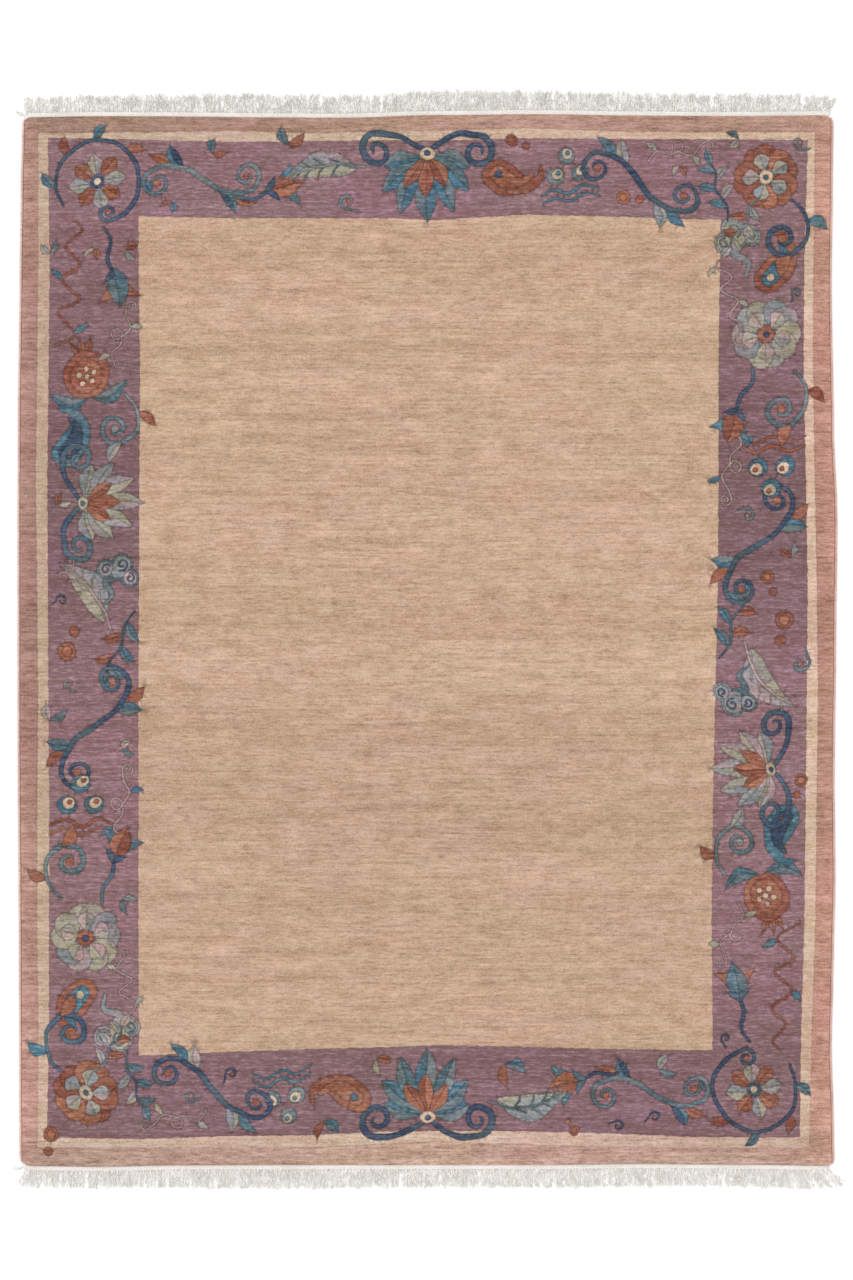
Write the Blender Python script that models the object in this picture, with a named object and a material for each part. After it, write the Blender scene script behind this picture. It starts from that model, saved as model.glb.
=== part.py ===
"""A hand-knotted Nepalese wool rug, lying flat with its back on the floor.

It is made as its weaver makes it: one knotted pile body with a drawn-in, slightly bowed outline,
an overcast cord along each long side, and at each end a flat-woven white strip that runs out into
the fringe of the warps. Metres, +Z up. +Y is the end that lies away from the viewer, and the
origin is the middle of the rug's footprint on the floor.
"""

import math
import random
from collections import namedtuple

import bmesh
import bpy
from mathutils import Vector

# Driving sizes
RUG_WIDTH = 2.360  # over the two side cords
RUG_LENGTH = 3.040  # the knotted pile, without its fringes
PILE_THICKNESS = 0.012  # foundation and clipped pile together
PILE_ROUNDING = 0.005  # where the pile opens over its edge
CORD_THICKNESS = 0.008
CORD_TIP = 0.35  # of its thickness, where the cord runs out round a corner
CORD_SIDES = 2  # bevel steps, which give the cord a section of eight sides
WRAP_ANGLE = math.radians(38)  # how far the cord follows each rounded corner
FIT_GAP = 0.0003  # between pieces that touch
STRIP_DEPTH = 0.013
STRIP_THICKNESS = 0.003
STRIP_INSET = 0.005  # the strip starts this far in from the pile's sides
LOCKS_PER_END = 150
LOCK_WIDTH = 0.0085
LOCK_TIP_WIDTH = 0.0050
LOCK_TIP_THICKNESS = 0.0022
LENGTH_SPREAD = 0.004
LEAN_SPREAD = math.radians(3.5)
LOCK_MARGIN = 0.0006  # of plain strip outside the first and last lock
SWAY = 0.0018  # how far a lock's middle wanders from a straight line
FRINGE_SEEDS = {"near": 23, "far": 11}
SPLAY_REACH = 5  # locks at each corner that fan outwards
SPLAY_FADE = 1.5  # how fast the fanning dies away from the corner

# How many straight pieces a line is drawn with
SIDE_STEPS = 36
END_STEPS = 30
CORNER_STEPS = 5
ROUNDING_STEPS = 3
LOCK_BENDS = (0.45, 1.0)  # shares of a lock's length where its sections lie
STATION_CLEARANCE = 0.002  # a station this near a corner's curve is left out

# Each corner is clipped to its own radius: side (-1 left, +1 right), then end (-1 near, +1 far)
CORNER_RADII = {(-1, -1): 0.021, (1, -1): 0.014, (1, 1): 0.017, (-1, 1): 0.015}

QUARTER = math.pi / 2

# How far the sides bow outwards, in millimetres, from the near end (0) to the far end (1)
SideBow = namedtuple("SideBow", "along left right")
SIDE_BOWS = (
    SideBow(0.00, 0.0, 3.0),
    SideBow(0.05, 0.5, 0.0),
    SideBow(0.11, 1.0, -5.5),
    SideBow(0.20, 2.0, 0.5),
    SideBow(0.27, 3.0, 5.5),
    SideBow(0.37, 5.5, 3.0),
    SideBow(0.50, 6.0, 7.5),
    SideBow(0.62, 6.0, 11.5),
    SideBow(0.70, 5.0, 1.0),
    SideBow(0.84, 0.0, -5.5),
    SideBow(0.93, -3.5, -2.5),
    SideBow(1.00, -8.0, 0.0),
)

# The same for the two ends, from the left side (0) to the right side (1)
EndBow = namedtuple("EndBow", "along near far")
END_BOWS = (
    EndBow(0.00, 3.0, -5.0),
    EndBow(0.10, 5.5, -1.5),
    EndBow(0.20, 1.0, -2.5),
    EndBow(0.32, 0.0, -5.5),
    EndBow(0.40, 0.0, -6.5),
    EndBow(0.50, 0.0, 1.0),
    EndBow(0.64, 0.0, 4.0),
    EndBow(0.76, -3.0, 0.0),
    EndBow(0.88, -1.0, -1.5),
    EndBow(1.00, 2.5, 1.0),
)

# How far the locks reach past the pile, in millimetres, from the left side to the right side
FringeReach = namedtuple("FringeReach", "along near far")
FRINGE_REACHES = (
    FringeReach(0.00, 63, 56),
    FringeReach(0.12, 60, 61),
    FringeReach(0.30, 69, 66),
    FringeReach(0.43, 65, 63),
    FringeReach(0.51, 63, 71),
    FringeReach(0.70, 66, 64),
    FringeReach(0.88, 62, 62),
    FringeReach(1.00, 70, 58),
)

# How far the outermost lock of each corner fans outwards
Splay = namedtuple("Splay", "left right")
SPLAYS = {
    "near": Splay(math.radians(20), math.radians(42)),
    "far": Splay(math.radians(12), math.radians(22)),
}

WOOL_ROUGHNESS = 0.95
COTTON_ROUGHNESS = 0.90
FIELD_BEIGE = (0.57, 0.39, 0.28, 1.0)
CORD_PINK = (0.47, 0.29, 0.22, 1.0)
COTTON_WHITE = (0.73, 0.71, 0.66, 1.0)


def clear_scene():
    for obj in list(bpy.data.objects):
        bpy.data.objects.remove(obj, do_unlink=True)


def material(name, colour, roughness):
    made = bpy.data.materials.new(name)
    made.use_nodes = True
    shader = made.node_tree.nodes["Principled BSDF"]
    shader.inputs["Base Color"].default_value = colour
    shader.inputs["Roughness"].default_value = roughness
    shader.inputs["Metallic"].default_value = 0.0
    made.diffuse_color = colour
    return made


def eased(rows, column, along):
    """A column of a table of millimetres, in metres, eased from row to row."""
    along = min(max(along, 0.0), 1.0)
    for before, after in zip(rows, rows[1:]):
        if along <= after.along:
            share = (along - before.along) / (after.along - before.along)
            smooth = share * share * (3 - 2 * share)
            low, high = getattr(before, column), getattr(after, column)
            return (low + (high - low) * smooth) / 1000
    return getattr(rows[-1], column) / 1000


def straightened(rows, column, along, steps):
    """The bow along a straight line between two stations, so that both sides of a joint bend alike."""
    station = min(int(min(max(along, 0.0), 1.0) * steps), steps - 1)
    low = eased(rows, column, station / steps)
    high = eased(rows, column, (station + 1) / steps)
    return low + (high - low) * (along * steps - station)


def side_x(side, y):
    """Where the pile's left (-1) or right (+1) edge lies at y, inside the side cord."""
    column = "left" if side < 0 else "right"
    half = RUG_WIDTH / 2 - CORD_THICKNESS - FIT_GAP
    return side * (half + straightened(SIDE_BOWS, column, y / RUG_LENGTH + 0.5, SIDE_STEPS))


def end_name(end):
    return "near" if end < 0 else "far"


def end_y(end, x):
    """Where the pile's near (-1) or far (+1) edge lies at x."""
    column = end_name(end)
    bent = straightened(END_BOWS, column, x / RUG_WIDTH + 0.5, END_STEPS)
    return end * (RUG_LENGTH / 2 + bent)


def stations(size, steps, start, stop):
    """The stations of an edge of this size that lie between start and stop, in that direction."""
    low, high = sorted((start, stop))
    every = [size * (i / steps - 0.5) for i in range(steps + 1)]
    inside = [place for place in every if low + STATION_CLEARANCE < place < high - STATION_CLEARANCE]
    return inside if start < stop else inside[::-1]


class Corner:
    """One rounded corner of the pile, set into the two bowed edges that it joins."""

    def __init__(self, side, end):
        self.radius = CORNER_RADII[side, end]
        x = side_x(side, end * RUG_LENGTH / 2) - side * self.radius
        self.centre = Vector((x, end_y(end, x) - end * self.radius))

    def at(self, angle, out=0.0):
        """The point at this angle round the corner, this far out from the pile's wall."""
        return self.centre + (self.radius + out) * Vector((math.cos(angle), math.sin(angle)))

    def turn(self, start, sweep, out=0.0):
        """Points round the corner, from the first angle to the last."""
        return [self.at(start + sweep * i / CORNER_STEPS, out) for i in range(CORNER_STEPS + 1)]


def pile_outline():
    """The pile's outline, anticlockwise from the near left corner, as 2D points."""
    near_left, near_right = Corner(-1, -1), Corner(1, -1)
    far_right, far_left = Corner(1, 1), Corner(-1, 1)
    points = near_left.turn(math.pi, QUARTER)
    xs = stations(RUG_WIDTH, END_STEPS, near_left.centre.x, near_right.centre.x)
    points += [Vector((x, end_y(-1, x))) for x in xs]
    points += near_right.turn(-QUARTER, QUARTER)
    ys = stations(RUG_LENGTH, SIDE_STEPS, near_right.centre.y, far_right.centre.y)
    points += [Vector((side_x(1, y), y)) for y in ys]
    points += far_right.turn(0.0, QUARTER)
    xs = stations(RUG_WIDTH, END_STEPS, far_right.centre.x, far_left.centre.x)
    points += [Vector((x, end_y(1, x))) for x in xs]
    points += far_left.turn(QUARTER, QUARTER)
    ys = stations(RUG_LENGTH, SIDE_STEPS, far_left.centre.y, near_left.centre.y)
    points += [Vector((side_x(-1, y), y)) for y in ys]
    return points


def add_object(name, mesh_or_curve, finish, collection):
    made = bpy.data.objects.new(name, mesh_or_curve)
    mesh_or_curve.materials.append(finish)
    collection.objects.link(made)
    return made


def add_pile(collection, finish):
    """The knotted body: its outline raised to the pile's height, with the upper rim rounded over."""
    shape = bmesh.new()
    floor_ring = [shape.verts.new((p.x, p.y, 0.0)) for p in pile_outline()]
    floor_face = shape.faces.new(floor_ring)
    grown = bmesh.ops.extrude_face_region(shape, geom=[floor_face])["geom"]
    raised = [g for g in grown if isinstance(g, bmesh.types.BMVert)]
    bmesh.ops.translate(shape, vec=(0, 0, PILE_THICKNESS), verts=raised)
    rim = [e for e in shape.edges if all(v.co.z > PILE_THICKNESS / 2 for v in e.verts)]
    bmesh.ops.bevel(
        shape, geom=rim, offset=PILE_ROUNDING, segments=ROUNDING_STEPS, profile=0.5, affect="EDGES"
    )
    bmesh.ops.recalc_face_normals(shape, faces=shape.faces)
    mesh = bpy.data.meshes.new("knotted_pile")
    shape.to_mesh(mesh)
    shape.free()
    return add_object("knotted_pile", mesh, finish, collection)


def cord_route(side):
    """A side cord's middle line from corner to corner, with its swell: 1 where it is full size."""
    near, far = Corner(side, -1), Corner(side, 1)
    facing = 0.0 if side > 0 else math.pi
    near_turn, far_turn = [], []
    for i in range(CORNER_STEPS + 1):
        along = i / CORNER_STEPS
        swell = CORD_TIP + (1 - CORD_TIP) * along
        sweep = side * WRAP_ANGLE * (1 - along)
        reach = FIT_GAP + swell * CORD_THICKNESS / 2
        near_turn.append((near.at(facing - sweep, reach), swell))
        far_turn.append((far.at(facing + sweep, reach), swell))
    reach = side * (FIT_GAP + CORD_THICKNESS / 2)
    ys = stations(RUG_LENGTH, SIDE_STEPS, near.centre.y, far.centre.y)
    run = [(Vector((side_x(side, y) + reach, y)), 1.0) for y in ys]
    return near_turn + run + far_turn[::-1]


def add_cord(name, side, collection, finish):
    """A side cord: the selvedge warps, overcast with wool into a round edge."""
    route = cord_route(side)
    curve = bpy.data.curves.new(name, "CURVE")
    curve.dimensions = "3D"
    curve.bevel_depth = CORD_THICKNESS / 2
    curve.bevel_resolution = CORD_SIDES
    curve.use_fill_caps = True
    spline = curve.splines.new("POLY")
    spline.points.add(len(route) - 1)
    for point, (place, swell) in zip(spline.points, route):
        # The thin tips lie on the floor too, so their middle drops as they thin.
        point.co = (place.x, place.y, swell * CORD_THICKNESS / 2, 1.0)
        point.radius = swell
    return add_object(name, curve, finish, collection)


def lock_lean(index, splay, rng):
    """The angle at which a lock leaves the strip, positive towards the right side."""
    lean = rng.uniform(-LEAN_SPREAD, LEAN_SPREAD)
    from_right = LOCKS_PER_END - 1 - index
    if index < SPLAY_REACH:
        return lean / 2 - splay.left * (1 - index / SPLAY_REACH) ** SPLAY_FADE
    if from_right < SPLAY_REACH:
        return lean / 2 + splay.right * (1 - from_right / SPLAY_REACH) ** SPLAY_FADE
    return lean


def lock_section(middle, across, width, thickness):
    """The corners of a lock's section: floor left, upper left, upper right and floor right."""
    left, right = middle - across * width / 2, middle + across * width / 2
    return (
        (left.x, left.y, 0.0),
        (left.x, left.y, thickness),
        (right.x, right.y, thickness),
        (right.x, right.y, 0.0),
    )


def grow_lock(shape, root, start, heading, across, length, sway):
    """Draws one lock out of the strip's front by extruding its root face section by section."""
    face = root
    for share in LOCK_BENDS:
        width = LOCK_WIDTH + (LOCK_TIP_WIDTH - LOCK_WIDTH) * share
        thickness = STRIP_THICKNESS + (LOCK_TIP_THICKNESS - STRIP_THICKNESS) * share
        place = start + heading * length * share + across * sway * math.sin(math.pi * share)
        face = bmesh.ops.extrude_discrete_faces(shape, faces=[face])["faces"][0]
        low_left, high_left, low_right, high_right = sorted(
            face.verts, key=lambda v: (round(v.co.x, 6), v.co.z)
        )
        corners = lock_section(place, across, width, thickness)
        for vert, corner in zip((low_left, high_left, high_right, low_right), corners):
            vert.co = corner


def strip_back(end, left, right):
    """The strip's edge beside the pile, from left to right, round the corners' curves too."""
    first, last = Corner(-1, end), Corner(1, end)
    upright = end * QUARTER
    points = []
    for corner, x, towards in ((first, left, 1), (last, right, -1)):
        radius = corner.radius + FIT_GAP
        lean = math.asin(abs(x - corner.centre.x) / radius)
        # The turn runs from the strip's end to where the pile's edge is straight.
        turn = corner.turn(upright + end * towards * lean, -end * towards * lean, FIT_GAP)
        points.append(turn if towards > 0 else turn[::-1])
    xs = stations(RUG_WIDTH, END_STEPS, first.centre.x, last.centre.x)
    return points[0] + [Vector((x, end_y(end, x) + end * FIT_GAP)) for x in xs] + points[1]


def is_root(face, end):
    """Whether this wall of the strip is one that a lock grows from."""
    centre = face.calc_center_median()
    xs = [vert.co.x for vert in face.verts]
    at_front = end * (centre.y - end_y(end, centre.x)) > STRIP_DEPTH / 2
    return len(xs) == 4 and at_front and abs(max(xs) - min(xs) - LOCK_WIDTH) < FIT_GAP


def add_fringe(name, end, collection, finish):
    """One end's flat-woven strip with its locks: a ribbon whose front faces are drawn out."""
    rng = random.Random(FRINGE_SEEDS[end_name(end)])
    splay = SPLAYS[end_name(end)]
    left = side_x(-1, end * RUG_LENGTH / 2) + STRIP_INSET
    right = side_x(1, end * RUG_LENGTH / 2) - STRIP_INSET
    first = left + LOCK_MARGIN + LOCK_WIDTH / 2
    pitch = (right - left - 2 * LOCK_MARGIN - LOCK_WIDTH) / (LOCKS_PER_END - 1)
    middles = [first + pitch * i for i in range(LOCKS_PER_END)]

    def front_at(x):
        return Vector((x, end_y(end, x) + end * STRIP_DEPTH))

    fronts = [left]
    for middle in middles:
        fronts += [middle - LOCK_WIDTH / 2, middle + LOCK_WIDTH / 2]
    fronts.append(right)
    outline = [front_at(x) for x in fronts] + strip_back(end, left, right)[::-1]

    shape = bmesh.new()
    floor_ring = [shape.verts.new((p.x, p.y, 0.0)) for p in outline]
    floor_face = shape.faces.new(floor_ring)
    grown = bmesh.ops.extrude_face_region(shape, geom=[floor_face])["geom"]
    raised = [g for g in grown if isinstance(g, bmesh.types.BMVert)]
    bmesh.ops.translate(shape, vec=(0, 0, STRIP_THICKNESS), verts=raised)

    # Each front wall as wide as a lock is that lock's root.
    roots = sorted(
        (face for face in shape.faces if is_root(face, end)),
        key=lambda face: face.calc_center_median().x,
    )
    for i, (root, middle) in enumerate(zip(roots, middles, strict=True)):
        lean = lock_lean(i, splay, rng)
        heading = Vector((math.sin(lean), end * math.cos(lean)))
        across = Vector((math.cos(lean), -end * math.sin(lean)))
        reach = eased(FRINGE_REACHES, end_name(end), i / (LOCKS_PER_END - 1))
        length = reach - STRIP_DEPTH + rng.uniform(-LENGTH_SPREAD, LENGTH_SPREAD)
        grow_lock(shape, root, front_at(middle), heading, across, length, rng.uniform(-SWAY, SWAY))
    bmesh.ops.recalc_face_normals(shape, faces=shape.faces)
    mesh = bpy.data.meshes.new(name)
    shape.to_mesh(mesh)
    shape.free()
    return add_object(name, mesh, finish, collection)


def centre_on_floor(objects):
    """Moves every piece alike, so that the footprint's middle is the origin."""
    bpy.context.view_layer.update()
    corners = [obj.matrix_world @ Vector(c) for obj in objects for c in obj.bound_box]
    middle_x = (min(c.x for c in corners) + max(c.x for c in corners)) / 2
    middle_y = (min(c.y for c in corners) + max(c.y for c in corners)) / 2
    for obj in objects:
        obj.location.x -= middle_x
        obj.location.y -= middle_y


def main():
    clear_scene()
    collection = bpy.data.collections.new("nepalese_rug")
    bpy.context.scene.collection.children.link(collection)
    pile_wool = material("pile_wool", FIELD_BEIGE, WOOL_ROUGHNESS)
    cord_wool = material("cord_wool", CORD_PINK, WOOL_ROUGHNESS)
    cotton = material("fringe_cotton", COTTON_WHITE, COTTON_ROUGHNESS)
    pieces = [
        add_pile(collection, pile_wool),
        add_cord("side_cord_left", -1, collection, cord_wool),
        add_cord("side_cord_right", 1, collection, cord_wool),
        add_fringe("fringe_far", 1, collection, cotton),
        add_fringe("fringe_near", -1, collection, cotton),
    ]
    centre_on_floor(pieces)


main()
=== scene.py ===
# %% [markdown]
# # A knotted wool rug in cells
#
# The real object is a rug of about 2.4 by 3 metres, knotted by hand: a beige field with
# the faint streaks of each dye lot, a plum border with flowers, clouds and scrolls, a
# cream guard stripe, an outer band, two overcast sides and a cotton fringe at both ends.
#
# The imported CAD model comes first. It gives every size, so nothing here has to be
# scaled or fitted: a piece that stands for a CAD part is built where that part lies.

# %% Load the frame
import math
from collections import namedtuple

import bpy
import numpy as np
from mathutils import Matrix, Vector, geometry, kdtree


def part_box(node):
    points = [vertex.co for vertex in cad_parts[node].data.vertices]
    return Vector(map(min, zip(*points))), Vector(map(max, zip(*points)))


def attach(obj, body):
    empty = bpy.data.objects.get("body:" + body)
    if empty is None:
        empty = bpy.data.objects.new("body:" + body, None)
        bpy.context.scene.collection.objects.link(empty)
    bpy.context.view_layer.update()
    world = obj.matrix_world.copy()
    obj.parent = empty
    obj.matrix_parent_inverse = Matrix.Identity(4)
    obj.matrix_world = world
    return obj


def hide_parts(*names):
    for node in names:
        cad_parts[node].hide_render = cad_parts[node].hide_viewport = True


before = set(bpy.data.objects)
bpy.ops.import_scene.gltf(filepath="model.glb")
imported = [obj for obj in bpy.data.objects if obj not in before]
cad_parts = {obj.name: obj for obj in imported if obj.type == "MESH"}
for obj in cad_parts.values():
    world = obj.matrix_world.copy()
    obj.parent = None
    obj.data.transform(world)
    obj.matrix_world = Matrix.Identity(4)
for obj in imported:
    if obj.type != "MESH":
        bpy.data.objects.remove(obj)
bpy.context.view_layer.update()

# %% [markdown]
# The drawing of a rug is easiest in millimetres from the middle of the knotted body, as
# a weaver's chart is. The frame is in metres from the middle of the whole footprint,
# which the uneven fringes push a little aside. One small function goes from the chart
# to the frame.

# %% From the weaver's chart to the frame
MM = 0.001
WIDTH, LENGTH = 2360.0, 3040.0  # the knotted body with its side cords
BOX_TO_CHART = (-2.75, 0.75)  # the uneven outline shifts the middle of its box
pile_low, pile_high = (np.array(corner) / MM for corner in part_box("knotted_pile"))
CHART_MIDDLE = (pile_low + pile_high)[:2] / 2 + BOX_TO_CHART
PILE_TOP = pile_high[2]


def to_frame(points, heights):
    """Chart points and their heights, in millimetres, as places in the frame in metres."""
    flat = np.asarray(points, float) + CHART_MIDDLE
    tall = np.broadcast_to(np.asarray(heights, float), flat.shape[:-1])
    return np.concatenate([flat, tall[..., None]], -1) * MM


print("chart middle, mm:", CHART_MIDDLE.round(2), "pile top, mm:", round(PILE_TOP, 2))

# %% [markdown]
# The photograph looks straight down on the rug with a long lens. The camera hangs
# nearly nine metres above the middle, so that the picture's height takes in 3.7 metres.
# A portrait picture uses the sensor's long side for its height.

# %% Camera
PICTURE_HEIGHT = 1280
MM_PER_PIXEL = 2.896
PICTURE_MIDDLE = (0.0, 0.7)  # on the chart
LENS, SENSOR = 85.0, 36.0

camera = bpy.data.objects.new("camera", bpy.data.cameras.new("camera"))
camera.data.lens, camera.data.sensor_width = LENS, SENSOR
drop = PICTURE_HEIGHT * MM_PER_PIXEL * LENS / SENSOR
camera.location = to_frame(PICTURE_MIDDLE, PILE_TOP + drop)
bpy.context.scene.collection.objects.link(camera)
bpy.context.scene.camera = camera
print("camera height, m:", round(camera.location.z, 3))

# %% [markdown]
# Shader maths reads best as plain sums. This class wraps one output socket: adding,
# multiplying or subtracting two of them, or one and a number, puts the matching Math
# node in the tree.


# %% Shader sums
class Wire:
    """An output socket that can stand in a sum, such as 1 - mask."""

    def __init__(self, finish, socket):
        self.finish, self.socket = finish, socket

    def sum(self, operation, *terms):
        places = dict(enumerate(terms))
        return self.finish.node("ShaderNodeMath", {"operation": operation}, places)

    def __add__(self, other):
        return self.sum("ADD", self, other)

    def __sub__(self, other):
        return self.sum("SUBTRACT", self, other)

    def __rsub__(self, other):
        return self.sum("SUBTRACT", other, self)

    def __mul__(self, other):
        return self.sum("MULTIPLY", self, other)

    __radd__, __rmul__ = __add__, __mul__


# %% [markdown]
# A finish is one material. Every node comes from its one method `node`. The others are
# short forms of it for what wool and cotton need most: noise stretched along the knot
# rows, blends of colours, soft steps between two values, and at the end the shader with
# its relief.


# %% Finishes
class Finish:
    """One material and the nodes that make its colour, roughness and relief."""

    def __init__(self, name):
        self.material = bpy.data.materials.new(name)
        self.material.use_nodes = True
        self.nodes = self.material.node_tree.nodes
        self.links = self.material.node_tree.links
        self.shader = self.nodes["Principled BSDF"]
        self.place = self.node("ShaderNodeTexCoord", out="Object")

    def node(self, kind, settings=None, sockets=None, out=0):
        """Adds a node: its settings are set first, then its sockets' values or links."""
        made = self.nodes.new(kind)
        for key, value in (settings or {}).items():
            setattr(made, key, value)
        for key, value in (sockets or {}).items():
            self.join(value, made.inputs[key])
        return Wire(self, made.outputs[out])

    def join(self, value, socket):
        if isinstance(value, Wire):
            self.links.new(value.socket, socket)
        else:
            socket.default_value = value

    def blend(self, share, first, second):
        """Two colours mixed: the share of the second one."""
        sockets = {0: share, 6: first, 7: second}
        return self.node("ShaderNodeMix", {"data_type": "RGBA"}, sockets, out=2)

    def vector(self, operation, sockets):
        return self.node("ShaderNodeVectorMath", {"operation": operation}, sockets)

    def lit(self, colour, factor):
        """A colour made brighter or darker."""
        return self.vector("SCALE", {0: colour, "Scale": factor})

    def tinted(self, colour, tint):
        """A colour seen through another one."""
        return self.vector("MULTIPLY", {0: colour, 1: tint})

    def stretched(self, x, y, z=1.0):
        """The place on the piece, with this many units to a metre along each axis."""
        return self.vector("MULTIPLY", {0: self.place, 1: (x, y, z)})

    def noise(self, x, y, z=1.0, detail=2.0, roughness=0.5):
        sockets = {"Vector": self.stretched(x, y, z), "Scale": 1.0}
        sockets |= {"Detail": detail, "Roughness": roughness}
        return self.node("ShaderNodeTexNoise", {}, sockets)

    def ramp(self, value, start, stop):
        """0 below start and 1 above stop, eased between."""
        sockets = {"Value": value, "From Min": start, "From Max": stop}
        return self.node("ShaderNodeMapRange", {"interpolation_type": "SMOOTHSTEP"}, sockets)

    def attribute(self, name, out="Color"):
        return self.node("ShaderNodeAttribute", {"attribute_name": name}, out=out)

    def finish(self, colour, roughness, height, depth, sheen):
        """Feeds the shader. The sheen is the same all over, so it is set on the socket."""
        self.join(colour, self.shader.inputs["Base Color"])
        self.join(roughness, self.shader.inputs["Roughness"])
        self.shader.inputs["Sheen Weight"].default_value = sheen
        self.shader.inputs["Sheen Roughness"].default_value = 0.5
        self.shader.inputs["Specular IOR Level"].default_value = 0.25
        bump = self.node("ShaderNodeBump", {}, {"Height": height, "Distance": depth, "Strength": 0.8})
        self.join(bump, self.shader.inputs["Normal"])
        print(self.material.name, "has", len(self.nodes), "nodes")
        return self.material


# %% [markdown]
# The dyes are written as they look in daylight, from 0 to 255, and turned into the
# linear numbers that the renderer wants. Hand-spun wool takes dye unevenly, so each dye
# has a second shade for its flecks, a kin that it drifts towards within one motif, and
# a share that says how streaky it is.


# %% Dyes
def linear(*shades):
    """Colours from 0 to 255, as seen, as linear light."""
    seen = np.array(shades, float) / 255
    return np.where(seen <= 0.04045, seen / 12.92, ((seen + 0.055) / 1.055) ** 2.4)


Dye = namedtuple("Dye", "main fleck kin heather")
DYES = {
    "navy": Dye(linear(56, 72, 98), linear(84, 88, 102), "slate", 0.95),
    "slate": Dye(linear(82, 102, 108), linear(110, 110, 114), "grey", 0.95),
    "teal": Dye(linear(68, 106, 126), linear(100, 114, 122), "slate", 0.95),
    "sage": Dye(linear(156, 150, 130), linear(146, 126, 122), "grey", 0.9),
    "grey": Dye(linear(126, 134, 136), linear(138, 118, 122), "lilac", 0.9),
    "rust": Dye(linear(132, 76, 60), linear(128, 92, 84), "orange", 0.95),
    "orange": Dye(linear(152, 97, 74), linear(144, 106, 94), "rust", 0.95),
    "lilac": Dye(linear(176, 148, 148), linear(150, 120, 124), "sage", 0.9),
    "cream": Dye(linear(200, 172, 148), linear(180, 150, 134), "sage", 0.7),
    "plum": Dye(linear(130, 99, 104), linear(151, 118, 124), None, 0.58),
    "field": Dye(linear(196, 166, 142), linear(186, 150, 121), None, 0.66),
}
print(len(DYES), "dyes")

# %% [markdown]
# The rug's outline is uneven, as knotting and blocking leave it. It is read from the CAD
# pile, whose floor ring is star-shaped about the middle, so that the points can be
# sorted by their direction. Then it is walked in even steps.


# %% The pile's outline
def walked(points, step):
    """A closed line with a point at every step along it."""
    closed = np.vstack([points, points[:1]])
    along = np.concatenate([[0], np.cumsum(np.linalg.norm(np.diff(closed, axis=0), axis=1))])
    stops = np.linspace(0, along[-1], round(along[-1] / step), endpoint=False)
    return np.stack([np.interp(stops, along, closed[:, axis]) for axis in (0, 1)], 1)


def outward(line):
    """The direction square to a closed anticlockwise line, at each of its points."""
    ahead = np.roll(line, -1, 0) - np.roll(line, 1, 0)
    ahead /= np.linalg.norm(ahead, axis=1)[:, None]
    return np.stack([ahead[:, 1], -ahead[:, 0]], 1)


ON_FLOOR = 0.05  # millimetres
EDGE_STEP = 8.0
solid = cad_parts["knotted_pile"]
floor = {tuple(np.round(np.array(v.co) / MM, 3)) for v in solid.data.vertices if v.co.z < ON_FLOOR * MM}
ring = np.array(sorted(floor))[:, :2] - CHART_MIDDLE
ring = ring[np.argsort(np.arctan2(ring[:, 1], ring[:, 0]))]
EDGE = walked(ring, EDGE_STEP)
print("outline:", len(ring), "CAD points,", len(EDGE), "walked points")

# %% [markdown]
# The bands run round the rug as the weaver left them: a stripe gets wider or narrower by
# a centimetre or two along a side. The tables give how far each line lies in from the
# nominal edge, at places along the sides and ends; between them the line runs straight.

# %% The weaver's measures
Side = namedtuple("Side", "along left_band left_guard left_border right_border right_guard right_band")
SIDES = (
    Side(0.03, 53, 81, 346, 352, 99, 70),
    Side(0.13, 55, 87, 347, 351, 95, 64),
    Side(0.23, 52, 87, 345, 354, 86, 53),
    Side(0.34, 52, 88, 346, 350, 82, 50),
    Side(0.44, 55, 85, 345, 344, 79, 46),
    Side(0.55, 52, 84, 347, 336, 76, 49),
    Side(0.65, 48, 82, 348, 334, 81, 55),
    Side(0.76, 52, 86, 350, 334, 88, 60),
    Side(0.86, 55, 89, 346, 330, 86, 59),
    Side(0.97, 55, 84, 345, 325, 76, 55),
)
End = namedtuple("End", "along far_band far_guard far_border near_border near_guard near_band")
ENDS = (
    End(0.05, 51, 65, 290, 316, 79, 50),
    End(0.15, 48, 70, 292, 317, 76, 50),
    End(0.26, 45, 77, 297, 328, 84, 50),
    End(0.36, 51, 74, 297, 336, 87, 52),
    End(0.46, 45, 72, 298, 342, 98, 63),
    End(0.51, 45, 73, 303, 347, 99, 67),
    End(0.62, 37, 66, 287, 342, 98, 60),
    End(0.72, 45, 68, 292, 336, 92, 52),
    End(0.82, 48, 69, 300, 333, 82, 50),
    End(0.93, 48, 71, 305, 333, 80, 50),
)
print(len(SIDES), "measures along the sides,", len(ENDS), "along the ends")

# %% [markdown]
# Between two measures a line isn't quite straight: from one knot row to the next it steps
# in or out by a fraction of a millimetre. Four small waves that never fall into step
# stand for that. A band knows its four sides, and can say which places it holds.

# %% The lines of the bands
KNOT_STEPS = ((0.5, 223), (0.6, 371), (0.5, 597), (0.4, 811))  # millimetres, radians along a side
PHASE_STEP = 1.7
LINE_STEP = 9.0


def inset(rows, column, along):
    """How far in a line lies, with the small steps from knot row to knot row."""
    even = np.interp(along, [row.along for row in rows], [getattr(row, column) for row in rows])
    phase = len(column) * PHASE_STEP
    return even + sum(size * np.sin(along * often + phase * often) for size, often in KNOT_STEPS)


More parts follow.
